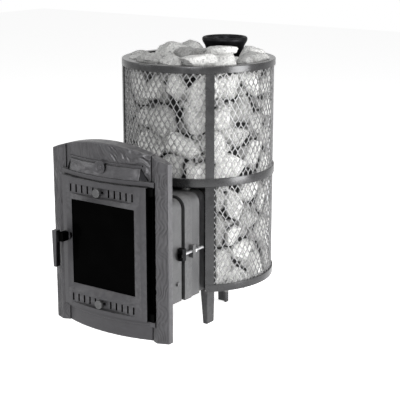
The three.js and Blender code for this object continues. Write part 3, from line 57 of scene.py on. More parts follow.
bodies = frame["record"]["behaviour"]["bodies"]
body_of = {node: body for body, nodes in bodies.items() for node in nodes}

# %% [markdown]
# The cage is round, so its axis is the handiest place to measure from. All shapes are worked out in
# millimetres from that axis and the floor, and one place turns them into metres in the shared frame.

# %% Millimetres from the cage's axis
MM = 0.001
ring_low, ring_high = (np.array(corner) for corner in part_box("cage_middle_ring"))
AXIS = (ring_low + ring_high) / 2 * (1, 1, 0)
CAGE = (ring_high[0] - ring_low[0]) / 2 / MM


def span(node):
    """Lowest and highest corner of a CAD node, in millimetres from the cage's axis."""
    return tuple((np.array(corner) - AXIS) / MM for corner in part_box(node))


def heights(node):
    """Lowest and highest level of a CAD node, in millimetres over the floor."""
    low, high = span(node)
    return low[2], high[2]


print("cage radius", round(CAGE, 1), "mm, axis at", AXIS.round(4).tolist())

# %% [markdown]
# A surface made with numpy is a grid of points. Blender wants to know which four points make each face,
# and that list follows from the grid's size alone. A grid may close on itself in either direction, as
# the skin of a ring does in both.

# %% Faces of a grid, and shells put together


def cells(rows, cols, close_rows=False, close_cols=False):
    """Four point numbers for each cell of a grid; a closed direction joins its last line to its first."""
    row, col = np.meshgrid(
        np.arange(rows if close_rows else rows - 1),
        np.arange(cols if close_cols else cols - 1),
        indexing="ij",
    )
    next_row, next_col = (row + 1) % rows, (col + 1) % cols
    corners = [row * cols + col, row * cols + next_col, next_row * cols + next_col, next_row * cols + col]
    return np.stack(corners, -1).reshape(-1, 4)


def copies(faces, count, points):
    """Faces of a count of equal grids whose points follow each other, one layer of faces for each grid."""
    return faces[None] + (np.arange(count) * points)[:, None, None]


def joined(shells):
    """Several shells as one: their points one after another, and their faces renumbered to match."""
    starts = np.cumsum([0] + [len(points.reshape(-1, 3)) for points, faces in shells])
    points = np.concatenate([points.reshape(-1, 3) for points, faces in shells])
    faces = np.concatenate([faces + start for (_, faces), start in zip(shells, starts)])
    return points, faces


def capped(loops):
    """A closed tube through equal loops of points, each end drawn together to the middle of its loop."""
    ends = [np.broadcast_to(loop.mean(0), loop.shape)[None] for loop in (loops[0], loops[-1])]
    points = np.concatenate([ends[0], loops, ends[1]])
    return points, cells(len(points), loops.shape[1], close_cols=True)


def slab(front, back):
    """A closed skin: a front grid, a back grid of the same size, and a strip between their borders."""
    rows, cols = front.shape[:2]
    number = np.arange(rows * cols).reshape(rows, cols)
    border = np.concatenate([number[0], number[1:, -1], number[-1, -2::-1], number[-2:0:-1, 0]])
    after = np.roll(border, -1)
    strip = np.stack([border, border + rows * cols, after + rows * cols, after], -1)
    sheet = cells(rows, cols)
    points = np.concatenate([front.reshape(-1, 3), back.reshape(-1, 3)])
    return points, np.concatenate([sheet, sheet[:, ::-1] + rows * cols, strip])


def backed(x, y, z, back):
    """A slab from a face of X, Y and Z to a back with the same outline, whose Y is a number or a grid."""
    return slab(np.stack([x, y, z], -1), np.stack([x, back + 0 * x, z], -1))


print("a 4 by 5 grid has", len(cells(4, 5)), "cells")

# %% [markdown]
# Next come the outlines that those grids are made from. Castings and bent plates have no knife edges, so
# an outline is given by its sharp corners and then rounded. A turned piece carries its outline round an
# axis, and a bent bar carries it along part of a circle.

# %% Outlines, turned pieces and bent bars


def rounded(corners, radius, steps=4):
    """Rounds a closed outline. Each corner becomes the curve (1-t)² before + 2t(1-t) corner + t² after,
    where before and after lie one radius along the corner's two sides."""
    corners = np.asarray(corners, float)
    radius = np.broadcast_to(np.asarray(radius, float), len(corners))[:, None]
    back = np.roll(corners, 1, 0) - corners
    ahead = np.roll(corners, -1, 0) - corners
    before = corners + back / np.linalg.norm(back, axis=1, keepdims=True) * radius
    after = corners + ahead / np.linalg.norm(ahead, axis=1, keepdims=True) * radius
    t = np.linspace(0, 1, steps + 1)[:, None, None]
    curve = (1 - t) ** 2 * before + 2 * t * (1 - t) * corners + t**2 * after
    return curve.transpose(1, 0, 2).reshape(-1, 2)


def round_the_cage(outline, angles):
    """Carries an outline of radius and height round the cage. Angles are in degrees from the front
    towards +X, so a point is (radius sin angle, -radius cos angle, height)."""
    angle = np.radians(np.asarray(angles, float))[:, None]
    radius, height = outline[None, :, 0], outline[None, :, 1]
    return np.stack([radius * np.sin(angle), -radius * np.cos(angle), height + 0 * angle], -1)


def turned_along_y(outline, x, z, steps=48):
    """Turns an outline of radius and Y about the line through x and z that runs along Y."""
    angle = np.linspace(0, 2 * np.pi, steps, endpoint=False)[:, None]
    radius, y = outline[None, :, 0], outline[None, :, 1]
    points = np.stack([x + radius * np.cos(angle), y + 0 * angle, z + radius * np.sin(angle)], -1)
    return points, cells(steps, len(outline), close_rows=True)


def whole_ring(outline, steps=144):
    """A closed outline turned all the way round the cage's axis."""
    points = round_the_cage(outline, np.arange(steps) * 360 / steps)
    return points, cells(steps, len(outline), close_rows=True, close_cols=True)


print("a rounded square has", len(rounded([(0, 0), (1, 0), (1, 1), (0, 1)], 0.2)), "points")

# %% [markdown]
# Cast and hewn surfaces need heights that look random and stay the same at each run. A table of seeded
# random numbers on a lattice, blended between the nearest four, gives that at any size.

# %% Seeded heights for cast and hewn surfaces
LATTICE = 64


def swell(u, v, seed):
    """Soft random heights from -1 to 1: numbers on a square lattice, blended with 3t² - 2t³."""
    table = np.random.default_rng(seed).uniform(-1, 1, (LATTICE, LATTICE))
    i, j = np.floor(u).astype(int), np.floor(v).astype(int)
    s, t = u - i, v - j
    s, t = s * s * (3 - 2 * s), t * t * (3 - 2 * t)
    low = table[i % LATTICE, j % LATTICE] * (1 - s) + table[(i + 1) % LATTICE, j % LATTICE] * s
    j = j + 1
    high = table[i % LATTICE, j % LATTICE] * (1 - s) + table[(i + 1) % LATTICE, j % LATTICE] * s
    return low * (1 - t) + high * t


print("a height at the middle of a cell:", round(float(swell(np.array(0.5), np.array(0.5), 1)), 3))

# %% [markdown]
# Shader nodes are also made in a few plain steps: add a node, set it, and fill each input with a number
# or with a link from another node. The shader of a finish is filled in the same way.

# %% Shader nodes, groups and finishes
finish = {}


def fill(tree, made, inputs):
    """Fills a node's inputs with values, or with links where a value is another node's socket."""
    for key, value in dict(inputs).items():
        if isinstance(value, bpy.types.NodeSocket):
            tree.links.new(value, made.inputs[key])
        else:
            made.inputs[key].default_value = value
    return made


def node(tree, kind, inputs=(), **settings):
    """Adds a shader node, sets it and fills its inputs."""
    made = tree.nodes.new("ShaderNode" + kind)
    for key, value in settings.items():
        setattr(made, key, value)
    return fill(tree, made, inputs)


def group(name, inputs, outputs):
    """An empty node group with float sockets, and a vector called Place to read the surface at."""
    tree = bpy.data.node_groups.new(name, "ShaderNodeTree")
    tree.interface.new_socket("Place", in_out="INPUT", socket_type="NodeSocketVector")
    for key, value in inputs.items():
        tree.interface.new_socket(key, in_out="INPUT", socket_type="NodeSocketFloat").default_value = value
    for key in outputs:
        tree.interface.new_socket(key, in_out="OUTPUT", socket_type="NodeSocketFloat")
    return tree, tree.nodes.new("NodeGroupInput").outputs, tree.nodes.new("NodeGroupOutput")


def use(tree, made, inputs):
    """Places a node group in a material, fills its inputs and gives its outputs."""
    return node(tree, "Group", inputs, node_tree=made).outputs


def new_finish(name):
    """A new material, kept under its name: its node tree, its shader and the Object coordinates."""
    finish[name] = bpy.data.materials.new(name)
    finish[name].use_nodes = True
    tree = finish[name].node_tree
    return tree, tree.nodes["Principled BSDF"], node(tree, "TexCoord").outputs["Object"]


print("node helpers ready")

# %% [markdown]
# A few nodes come up again and again: noise, a step of arithmetic, one coordinate of a place, a range
# stretched to another range, and a blend of two colours. Each gets a short function.

# %% Values and colours from nodes


def noise(tree, place, scale, detail, rough=0.5):
    """Soft noise from 0 to 1, with finer noise added in so many steps."""
    inputs = {"Vector": place, "Scale": scale, "Detail": detail, "Roughness": rough}
    return node(tree, "TexNoise", inputs).outputs["Fac"]


def reckon(tree, how, first, second=0.0):
    """One step of arithmetic on two values; on masks, MULTIPLY means both and MAXIMUM means either."""
    return node(tree, "Math", {0: first, 1: second}, operation=how).outputs[0]


def along(tree, vector, axis):
    """One coordinate of a vector."""
    return node(tree, "SeparateXYZ", {0: vector}).outputs[axis]


def stretch(tree, value, low, high, to_low=0.0, to_high=1.0):
    """Maps a value from one range to another and stops at its ends."""
    inputs = {"Value": value, "From Min": low, "From Max": high, "To Min": to_low, "To Max": to_high}
    return node(tree, "MapRange", inputs).outputs["Result"]


def blend(tree, share, first, second, how="MIX"):
    """Mixes two colours by a share from 0 to 1."""
    inputs = {0: share, 6: first, 7: second}
    return node(tree, "Mix", inputs, data_type="RGBA", blend_type=how).outputs[2]


print("value helpers ready")

# %% [markdown]
# Sand-cast iron has two textures at once: soft blotches a hand wide where the coating varies, and the
# fine grain that the sand leaves. Both are used by nearly all finishes here, so they are one group.

# %% Group: the skin of a casting
SKIN_SIZES = {"Blotch": 30.0, "Grain": 700.0}
casting_skin, skin_in, skin_out = group("casting_skin", SKIN_SIZES, ("Blotch", "Grain"))
skin_blotch = noise(casting_skin, skin_in["Place"], skin_in["Blotch"], 4.0, 0.6)
skin_grain = noise(casting_skin, skin_in["Place"], skin_in["Grain"], 3.0, 0.65)
fill(casting_skin, skin_out, {"Blotch": stretch(casting_skin, skin_blotch, 0.3, 0.7), "Grain": skin_grain})
print("group", casting_skin.name)

# %% [markdown]
# Handling rubs the coating off the edges first, and soot stays in the hollows. The paler edges are also
# painted highlight, and the darker hollows are also painted shade. Cycles knows how sharply a surface bends
# outwards or inwards at each point, and a noise breaks the rubbed band up so that it doesn't look drawn.

# %% Group: rubbed edges with painted highlight, hollows with painted shade
edge_wear_and_highlight, rub_in, rub_out = group("edge_wear_and_highlight", {"Reach": 0.14}, ("Mask", "Hollow_soot_and_shade"))
rub_bend = node(edge_wear_and_highlight, "NewGeometry").outputs["Pointiness"]
rub_band = stretch(edge_wear_and_highlight, rub_bend, 0.53, reckon(edge_wear_and_highlight, "ADD", 0.5, rub_in["Reach"]))
rub_gaps = stretch(edge_wear_and_highlight, noise(edge_wear_and_highlight, rub_in["Place"], 90.0, 3.0), 0.35, 0.65)
wear_and_highlight_mask = reckon(edge_wear_and_highlight, "MULTIPLY", rub_band, rub_gaps)
# Mask is wear and painted highlight at edges; Hollow is soot and painted shade in hollows.
fill(edge_wear_and_highlight, rub_out, {"Mask": wear_and_highlight_mask, "Hollow_soot_and_shade": stretch(edge_wear_and_highlight, rub_bend, 0.5, 0.43)})
print("group", edge_wear_and_highlight.name)

# %% [markdown]
# Stone dust and ash settle on whatever faces up, more in some places than in others.

# %% Group: settled dust
settled_dust, dust_in, dust_out = group("settled_dust", {"Patch": 45.0}, ("Mask",))
dust_up = along(settled_dust, node(settled_dust, "NewGeometry").outputs["Normal"], "Z")
dust_flat = stretch(settled_dust, dust_up, 0.5, 1.0)
dust_patch = stretch(settled_dust, noise(settled_dust, dust_in["Place"], dust_in["Patch"], 5.0), 0.4, 0.75)
fill(settled_dust, dust_out, {"Mask": reckon(settled_dust, "MULTIPLY", dust_flat, dust_patch)})
print("group", settled_dust.name)

# %% [markdown]
# Some places of the castings are black. The slit beside the door, the faces that look sideways in its
# gaps and all behind the door are blackened as painted shade, and so is the grip's side towards the
# door; the latch handle's boss and the bolt heads are black. The place on the object and
# the way that a face looks give a mask for each, so nothing has to be painted by hand.

# %% Masks of black places and painted shade
SLIT_NEAR, SLIT_FAR, SLIT_LOW, SLIT_HIGH, SLIT_FRONT = 162.6, 186.0, 142.0, 558.0, -506.0
DOOR_BACK = span("door_frame")[1][1] - 1.5
GRIP_END = -145.0
HOOK_FRONT = span("clamp_hook_right")[0][1]


def within(tree, value, low, high):
    """A mask that is one where a value lies between two limits in millimetres."""
    over = reckon(tree, "GREATER_THAN", value, low * MM)
    return reckon(tree, "MULTIPLY", over, reckon(tree, "LESS_THAN", value, high * MM))


def behind(tree, y, front):
    """A mask that is one behind a plane across the heater."""
    return reckon(tree, "GREATER_THAN", y, front * MM + AXIS[1])


def looks_aside(tree):
    """How far a face looks towards +X, from -1 to 1."""
    return along(tree, node(tree, "TexCoord").outputs["Normal"], "X")


def gap_shade(tree, place):
    """Painted shadow: a mask of the slit between the door and the hinge side, of the faces that look
    sideways in the gaps beside the door, and of all behind the door, which are blackened as the shade there."""
    x, y, z = (along(tree, place, axis) for axis in "XYZ")
    level = within(tree, z, SLIT_LOW, SLIT_HIGH)
    slit = reckon(tree, "MULTIPLY", level, within(tree, x, SLIT_NEAR, SLIT_FAR))
    side = stretch(tree, reckon(tree, "ABSOLUTE", looks_aside(tree)), 0.7, 0.9)
    cheek = reckon(tree, "MULTIPLY", side, within(tree, x, -SLIT_FAR, SLIT_FAR))
    gaps = reckon(tree, "MULTIPLY", reckon(tree, "MAXIMUM", slit, cheek), behind(tree, y, SLIT_FRONT))
    doorway = reckon(tree, "MULTIPLY", level, within(tree, x, -SLIT_NEAR, SLIT_FAR))
    deep = reckon(tree, "MULTIPLY", doorway, behind(tree, y, DOOR_BACK))
    return reckon(tree, "MAXIMUM", gaps, deep)


def boss_black_grip_shade(tree, place):
    """A mask of the handle's boss, inwards of the grip's end, which is black, and of the grip's side towards
    the door, which is blackened as painted shade.
    """
    boss = stretch(tree, along(tree, place, "X"), GRIP_END * MM, (GRIP_END + 1) * MM)
    return reckon(tree, "MAXIMUM", boss, stretch(tree, looks_aside(tree), 0.55, 0.85, 0.0, 0.8))


def black_heads(tree, place):
    """A mask of all in front of the clamps' hooks, where bolt heads and pins are blackened."""
    hook = HOOK_FRONT * MM + AXIS[1]
    return stretch(tree, along(tree, place, "Y"), hook + 0.5 * MM, hook)


print("black behind", round(DOOR_BACK), "mm and in the slit from", SLIT_NEAR, "mm")

# %% [markdown]
# Most of the heater is iron or steel under a heat-proof coat: the portal, the rings, the legs, the
# tunnel and the fire's own black castings. They differ in colour, gloss and coarseness, so one function
# builds them all from the three groups, and each gets its own numbers.

# %% Finishes of iron and steel
# Black for soot, for blackened heads and pins, and for painted shade.
BLACK_SOOT_AND_SHADE = (0.002, 0.002, 0.002, 1)
ASH_GREY = (0.42, 0.41, 0.39, 1)
GRAIN_LIFT = 0.0008
GLOSS_SPREAD = 0.06


def metal(name, dark, light, worn_and_lit, rough, metallic, blotch=SKIN_SIZES["Blotch"], grain=SKIN_SIZES["Grain"],
          bump=0.25, dust=0.2, blackening=None, shine=0.5, hollow_shade=0.0, edge=1.0):
    """Colour runs from dark to light over the blotches, is darker in hollows, with soot and painted shade,
    and paler at edges, with wear and painted highlight, and under dust, and the grain lifts the surface.
    A blackening function may blacken places, some of them as painted shade. Edge dulls the gloss at
    slanting views, which the blackened places have none of."""
    tree, shader, place = new_finish(name)
    skin = use(tree, casting_skin, {"Place": place, "Blotch": blotch, "Grain": grain})
    bends = use(tree, edge_wear_and_highlight, {"Place": place})
    ash = use(tree, settled_dust, {"Place": place})["Mask"]
    colour = blend(tree, skin["Blotch"], (*dark, 1), (*light, 1))
    if hollow_shade:
        # Hollows darkened: soot and painted shade.
        colour = blend(tree, stretch(tree, bends["Hollow_soot_and_shade"], 0.0, 1.0, 0.0, hollow_shade), colour, BLACK_SOOT_AND_SHADE)
    # Edges paler: wear and painted highlight.
    colour = blend(tree, bends["Mask"], colour, (*worn_and_lit, 1))
    colour = blend(tree, stretch(tree, ash, 0.0, 1.0, 0.0, dust), colour, ASH_GREY)
    shader.inputs["Metallic"].default_value = metallic
    # Blackened places, some of them painted shade.
    if blackening:
        black = blackening(tree, place)
        colour = blend(tree, black, colour, BLACK_SOOT_AND_SHADE)
        fill(tree, shader, {"Metallic": stretch(tree, black, 0.0, 1.0, metallic, 1.0)})
    gloss = stretch(tree, skin["Blotch"], 0.0, 1.0, rough - GLOSS_SPREAD, rough + GLOSS_SPREAD)
    lift = node(tree, "Bump", {"Height": skin["Grain"], "Strength": bump, "Distance": GRAIN_LIFT})
    fill(tree, shader, {
        "Base Color": colour, "Roughness": gloss, "Normal": lift.outputs["Normal"],
        "Specular IOR Level": shine, "Specular Tint": (edge, edge, edge, 1)})


PORTAL_COAT = ((0.043, 0.042, 0.045), (0.055, 0.054, 0.058), (0.075, 0.074, 0.078), 0.42, 0.3)
# The hewn coat's pale rubbed colour paints highlights on the relief's ridges, and its hollow shade paints
# shade in the valleys.
HEWN_COAT = ((0.05, 0.049, 0.052), (0.068, 0.067, 0.071), (0.15, 0.15, 0.153), 0.36, 0.35)
metal("portal_iron", *PORTAL_COAT, bump=0.35, blackening=gap_shade, shine=0.6, edge=0.4)
metal("hewn_iron_lit_and_shaded", *HEWN_COAT, bump=0.35, blackening=gap_shade, shine=0.7, edge=0.4, hollow_shade=0.9)
metal("handle_iron_shaded", *PORTAL_COAT, bump=0.35, blackening=boss_black_grip_shade, shine=0.6, edge=0.4)
metal("band_steel", (0.036, 0.036, 0.037), (0.046, 0.046, 0.047), (0.07, 0.07, 0.07), 0.27, 0.75,
      grain=1400.0, bump=0.1)
metal("mesh_steel", (0.15, 0.15, 0.153), (0.21, 0.21, 0.213), (0.28, 0.28, 0.28), 0.56, 0.7, blotch=20.0)
metal("black_iron", (0.006, 0.006, 0.007), (0.011, 0.011, 0.012), (0.02, 0.02, 0.02), 0.42, 0.8, bump=0.2,
      dust=0.02, shine=0.25, edge=0.5)
metal("tunnel_iron", (0.058, 0.058, 0.06), (0.08, 0.08, 0.082), (0.14, 0.14, 0.14), 0.44, 0.45, bump=0.4)
metal("leg_iron", (0.034, 0.034, 0.036), (0.05, 0.05, 0.052), (0.09, 0.09, 0.09), 0.46, 0.45, bump=0.4,
      shine=0.35)
metal("plate_steel", (0.01, 0.01, 0.011), (0.016, 0.016, 0.017), (0.04, 0.04, 0.04), 0.5, 0.85, bump=0.15,
      dust=0.05, shine=0.2, edge=0.3)
metal("fire_iron", (0.006, 0.006, 0.006), (0.014, 0.014, 0.013), (0.03, 0.03, 0.03), 0.75, 0.6, bump=0.5,
      shine=0.15, edge=0.3)
metal("bright_steel", (0.42, 0.42, 0.43), (0.55, 0.55, 0.56), (0.7, 0.7, 0.7), 0.3, 0.9, bump=0.05,
      blackening=black_heads)
print(len(finish), "finishes of metal")

# %% [markdown]
# The stones are tumbled quartz-like cobbles: mostly white, some pale grey and a few darker, with faint
# veins and dark specks. Each stone has its own number, tone, stored on its mesh, so one material paints
# them all differently. Low tones also carry painted shade, down to near black for the core.

# %% Finish of the stones
stone_tree, stone_shader, stone_place = new_finish("stone")
stone_tone_and_shade = node(stone_tree, "Attribute", attribute_name="tone").outputs["Fac"]
stone_skin = use(stone_tree, casting_skin, {"Place": stone_place, "Blotch": 34.0, "Grain": 420.0})
stone_pits = noise(stone_tree, stone_place, 150.0, 6.0, 0.7)
stone_cloud = stretch(stone_tree, stone_skin["Blotch"], 0.0, 1.0, 0.0, 0.4)
stone_dirt = stretch(stone_tree, stone_pits, 0.52, 0.34, 0.0, 0.8)
stone_speck = stretch(stone_tree, stone_skin["Grain"], 0.6, 0.72, 0.0, 0.5)
# A tone of zero is near black, which paints shade on deep flanks and the core.
stone_colour = blend(stone_tree, stone_tone_and_shade, (0.006, 0.006, 0.006, 1), (0.84, 0.84, 0.82, 1))
stone_colour = blend(stone_tree, stone_cloud, stone_colour, (0.45, 0.45, 0.46, 1), "MULTIPLY")
stone_colour = blend(stone_tree, stone_dirt, stone_colour, (0.3, 0.3, 0.31, 1), "MULTIPLY")
stone_colour = blend(stone_tree, stone_speck, stone_colour, (0.1, 0.1, 0.11, 1), "MULTIPLY")
stone_lift = node(stone_tree, "Bump", {"Height": stone_pits, "Strength": 1.0, "Distance": 0.009})
fill(stone_tree, stone_shader, {
    "Base Color": stone_colour, "Roughness": stretch(stone_tree, stone_skin["Blotch"], 0.0, 1.0, 0.6, 0.8),
    "Normal": stone_lift.outputs["Normal"], "Specular IOR Level": 0.2})
print("finish of", finish["stone"].name)

# %% [markdown]
# The fire glass is smoked ceramic: nearly black with the fire out, smooth, and only faintly glossy. The
# rope that seals the door and the tunnel is a dark braid, which crossed waves give as bump.

# %% Finishes of the glass and the rope
glass_tree, glass_shader, glass_place = new_finish("door_glass")
glass_haze = use(glass_tree, casting_skin, {"Place": glass_place, "Blotch": 12.0, "Grain": 300.0})["Blotch"]
fill(glass_tree, glass_shader, {
    "Base Color": blend(glass_tree, glass_haze, (0.0005, 0.0005, 0.0005, 1), (0.001, 0.001, 0.001, 1)),
    "Roughness": stretch(glass_tree, glass_haze, 0.0, 1.0, 0.06, 0.14), "Specular IOR Level": 0.004})

rope_tree, rope_shader, rope_place = new_finish("rope")
rope_braid = {"Vector": rope_place, "Scale": 90.0, "Distortion": 1.5}
rope_wave = node(rope_tree, "TexWave", rope_braid, bands_direction="DIAGONAL").outputs["Fac"]
rope_lift = node(rope_tree, "Bump", {"Height": rope_wave, "Strength": 0.6, "Distance": 0.001})
fill(rope_tree, rope_shader, {
    "Base Color": blend(rope_tree, rope_wave, (0.004, 0.004, 0.004, 1), (0.014, 0.014, 0.014, 1)),
    "Roughness": 0.95, "Specular IOR Level": 0.05, "Normal": rope_lift.outputs["Normal"]})
print("finishes:", ", ".join(sorted(finish)))

# %% [markdown]
# Every CAD node gets the finish of its slot first. The nodes that stay in sight keep it, and the rest
# are hidden by the finer pieces that follow.

# %% Dress the CAD nodes
for name, cad in frame["nodes"].items():
    for place in cad.material_slots:
        place.material = finish[slot_of[name]]
print("dressed", len(frame["nodes"]), "nodes")

# %% [markdown]
# One function turns points and faces into a finished object. It joins doubled points, so that closed
# ends and poles really are closed, turns all faces outwards, shades smoothly except over sharp bends,
# and hides the CAD nodes that the object stands for.

# %% Points and faces into a piece
SAME_POINT = 2e-6
FLAT_BEND = math.radians(0.4)


def piece(name, shell, stands_for=(), slot=None, body="stove", bend=32, tone=None, flatten=False,
          look=None):
    """Makes an object from a shell of points and faces, in millimetres from the cage's axis. It wears the
    finish of its slot, or a look of its own. Flatten joins the triangles of flat faces first."""
    points, faces = shell
    points = np.asarray(points, float).reshape(-1, 3) * MM + AXIS
    mesh = bpy.data.meshes.new(name)
    mesh.vertices.add(len(points))
    mesh.vertices.foreach_set("co", points.ravel())
    mesh.loops.add(faces.size)
    mesh.loops.foreach_set("vertex_index", faces.ravel().astype(np.int32))
    mesh.polygons.add(len(faces))
    mesh.polygons.foreach_set("loop_start", np.arange(0, faces.size, faces.shape[1], dtype=np.int32))
    mesh.update(calc_edges=True)
    if tone is not None:
        mesh.attributes.new("tone", "FLOAT", "POINT").data.foreach_set("value", tone.ravel())
    work = bmesh.new()
    work.from_mesh(mesh)
    bmesh.ops.remove_doubles(work, verts=work.verts, dist=SAME_POINT)
    if flatten:
        bmesh.ops.dissolve_limit(work, angle_limit=FLAT_BEND, verts=work.verts, edges=work.edges)
    bmesh.ops.recalc_face_normals(work, faces=work.faces)
    work.to_mesh(mesh)
    work.free()
    mesh.shade_smooth()
    mesh.set_sharp_from_angle(angle=math.radians(bend))
    made = bpy.data.objects.new(name, mesh)
    bpy.context.scene.collection.objects.link(made)
    slot = slot or slot_of[stands_for[0]]
    mesh.materials.append(finish[look or slot])
    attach(made, body)
    if stands_for:
        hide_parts(*stands_for)
    return made


def softened(cad, width, steps=2, bend=32):
    """A merged copy of a CAD node whose edges a Bevel rounds by the given width in millimetres."""
    source = frame["nodes"][cad].data
    points = np.empty(len(source.vertices) * 3)
    source.vertices.foreach_get("co", points)
    corners = np.empty(len(source.loops), np.int32)
    source.loops.foreach_get("vertex_index", corners)
    shell = (points.reshape(-1, 3) - AXIS) / MM, corners.reshape(-1, 3)
    made = piece("soft_" + cad, shell, (cad,), body=body_of[cad], bend=bend, flatten=True)
    bevel = made.modifiers.new("rounded_edges", "BEVEL")
    bevel.width = width * MM
    bevel.segments = steps
    bevel.limit_method = "ANGLE"
    bevel.angle_limit = math.radians(bend)
    even = made.modifiers.new("flat_faces", "WEIGHTED_NORMAL")
    even.keep_sharp = True
    return made


print("piece makers ready")

# %% [markdown]
# Many plain castings and fittings already have the right shape in CAD and only lack soft edges, which
# catch the light on the real ones. A merged copy with a Bevel gives that. The widths are those of the
# real pieces: wide on sand castings, narrow on plates and bolts.

# %% Castings and fittings with soft edges
SOFT_EDGES = {
    "door_frame": 1.2, "door_handle": 2.6, "portal_plate": 1.0, "tunnel_front": 2.2, "tunnel_rear": 1.8,
    "leg_front_right": 2.4, "leg_front_left": 2.4, "leg_rear": 2.4, "base_plate": 0.8, "grate": 1.5,
    "clamp_hook_right": 2.2, "clamp_hook_left": 2.2, "clamp_lug_right": 2.2, "clamp_lug_left": 2.2,
    "clamp_bolt_right": 0.8, "clamp_bolt_left": 0.8, "tunnel_bolt_right": 1.2, "tunnel_bolt_left": 1.2,
    "ash_pan": 0.8, "latch_tongue": 0.8,
}
soft = {cad: softened(cad, width) for cad, width in SOFT_EDGES.items()}
soft["door_handle"].data.materials[0] = finish["handle_iron_shaded"]
print(len(soft), "softened copies")

# %% [markdown]
# The cage's three rings are rolled steel bands. The top one turns inwards at the rim. A band is an
# outline of radius and height carried round the axis; the bottom one leaves the front open for the
# tunnel.

# %% Rings of the cage
BAND, BAND_ROUND = 4.0, 1.2
LIP = 26.0


def band_outline(low, high):
    """A flat band's section with slightly rounded edges."""
    corners = [(CAGE, low), (CAGE, high), (CAGE - BAND, high), (CAGE - BAND, low)]
    return rounded(corners, BAND_ROUND, 3)


rim_low, rim_high = heights("cage_top_ring")
rim = rounded([
    (CAGE, rim_low), (CAGE, rim_high), (CAGE - BAND - LIP, rim_high), (CAGE - BAND - LIP, rim_high - BAND),
    (CAGE - BAND, rim_high - BAND), (CAGE - BAND, rim_low)],
    [BAND_ROUND, 3.5, BAND_ROUND, BAND_ROUND, 1.5, BAND_ROUND])
piece("rim_band", whole_ring(rim), ("cage_top_ring",))
middle_low, middle_high = heights("cage_middle_ring")
piece("middle_band", whole_ring(band_outline(middle_low, middle_high)), ("cage_middle_ring",))
foot = band_outline(*heights("cage_bottom_ring"))
BAY = math.degrees(math.asin(span("cage_post_lower_front_right")[0][0] / CAGE)) - 0.75
piece("foot_band", capped(round_the_cage(foot, np.linspace(BAY, 360 - BAY, 120))), ("cage_bottom_ring",))
print("rim at", round(rim_high), "mm, bay from", round(BAY, 1), "degrees")

# %% [markdown]
# Four flat posts in each of two tiers join the rings. They are strips of the same plate, bent to the
# cage's circle, so a post is a tall band outline carried through a few degrees.

# %% Posts of the cage
POST_WIDE = math.degrees(28.0 / CAGE)
corner_angle = {
    "front_right": BAY + POST_WIDE / 2, "rear_right": 180 - BAY - POST_WIDE / 2,
    "rear_left": 180 + BAY + POST_WIDE / 2, "front_left": 360 - BAY - POST_WIDE / 2,
}
for tier in ("upper", "lower"):
    for corner, angle in corner_angle.items():
        cad = f"cage_post_{tier}_{corner}"
        sweep = np.linspace(angle - POST_WIDE / 2, angle + POST_WIDE / 2, 9)
        post = capped(round_the_cage(band_outline(*heights(cad)), sweep))
        piece(f"post_{tier}_{corner}", post, (cad,))
print("eight posts", round(POST_WIDE, 2), "degrees wide")

# %% [markdown]
# The cage's wall is expanded steel: a sheet that was slit in rows and pulled sideways, so the slits
# open into upright diamonds. Two families of strands climb the wall in opposite turns. Each strand is a
# strip carried along its climb, a little steeper at the crossings, where two strands are still one piece
# of sheet, and it stands at a slight slant to the wall.

# %% Expanded steel of the cage
NET_COLUMNS = 74
NET_ROW = 36.0
NET_RADIUS = CAGE - BAND - 2.1
STRIP_WIDE, STRIP_THICK = 2.3, 2.2
STRIP_SLANT = math.radians(-6)
STEPS_A_ROW = 6
CROSSING_BEND = 0.045


def wall_ways(angle):
    """Unit vectors at an angle round the cage: outwards, level along the wall, and up."""
    outward = np.stack([np.sin(angle), -np.cos(angle), 0 * angle], -1)
    level = np.stack([np.cos(angle), np.sin(angle), 0 * angle], -1)
    return outward, level, np.array([0.0, 0, 1])


def strands(low, high, turn, open_front):
    """One family of strands. Strand k climbs from low to high at the angle (k + turn·climb/row) columns,
    less a small sine of twice the row's frequency that steepens it at the crossings. The strip's
    section is laid across the climb and slanted about it."""
    steps = int(round((high - low) / NET_ROW * STEPS_A_ROW)) + 1
    height = np.linspace(low, high, steps)[None, :]
    rows = (height - (low + high) / 2) / NET_ROW
    first = np.arange(NET_COLUMNS)[:, None]
    column = first + turn * (rows - CROSSING_BEND * np.sin(4 * np.pi * rows))
    angle = column * 2 * np.pi / NET_COLUMNS
    outward, level, rise = wall_ways(angle)
    middle = outward * NET_RADIUS + rise * height[..., None]
    lean = turn * NET_RADIUS * 2 * np.pi / NET_COLUMNS / NET_ROW
    across = (level - rise * lean) / math.hypot(1, lean)
    wide = across * math.cos(STRIP_SLANT) + outward * math.sin(STRIP_SLANT)
    thick = outward * math.cos(STRIP_SLANT) - across * math.sin(STRIP_SLANT)
    from_front = np.abs(np.mod(np.degrees(angle) + 180, 360) - 180)
    there = np.where(from_front > (BAY + 1 if open_front else -1), 1.0, 0.0)
    there[:, [0, -1]] = 0
    sides = np.array([(1, 1), (-1, 1), (-1, -1), (1, -1)]) / 2 * (STRIP_WIDE, STRIP_THICK)
    offset = sides[:, 0, None] * wide[..., None, :] + sides[:, 1, None] * thick[..., None, :]
    points = middle[..., None, :] + offset * there[..., None, None]
    solid = (there[:, :-1] + there[:, 1:] > 0).repeat(4, axis=1)
    return points.reshape(-1, 3), copies(cells(steps, 4, close_cols=True), NET_COLUMNS, steps * 4)[solid]


for tier, open_front in (("upper", False), ("lower", True)):
    cad = "cage_mesh_" + tier
    net = joined([strands(*heights(cad), turn, open_front) for turn in (1, -1)])
    piece("net_" + tier, net, (cad,), bend=50)
    print("net", tier, len(net[1]), "faces")

# %% [markdown]
# Behind the net lie the stones. To fill the wall without holes, the wall is shared out: each stone
# takes the points nearest to it and moves to their middle, over and over, until the shares are settled.
# The spread of a share then gives its stone's length, width and turn. The first places follow a fixed
# sequence that the CAD uses too, so each stone here lies over the plain stone of the CAD.

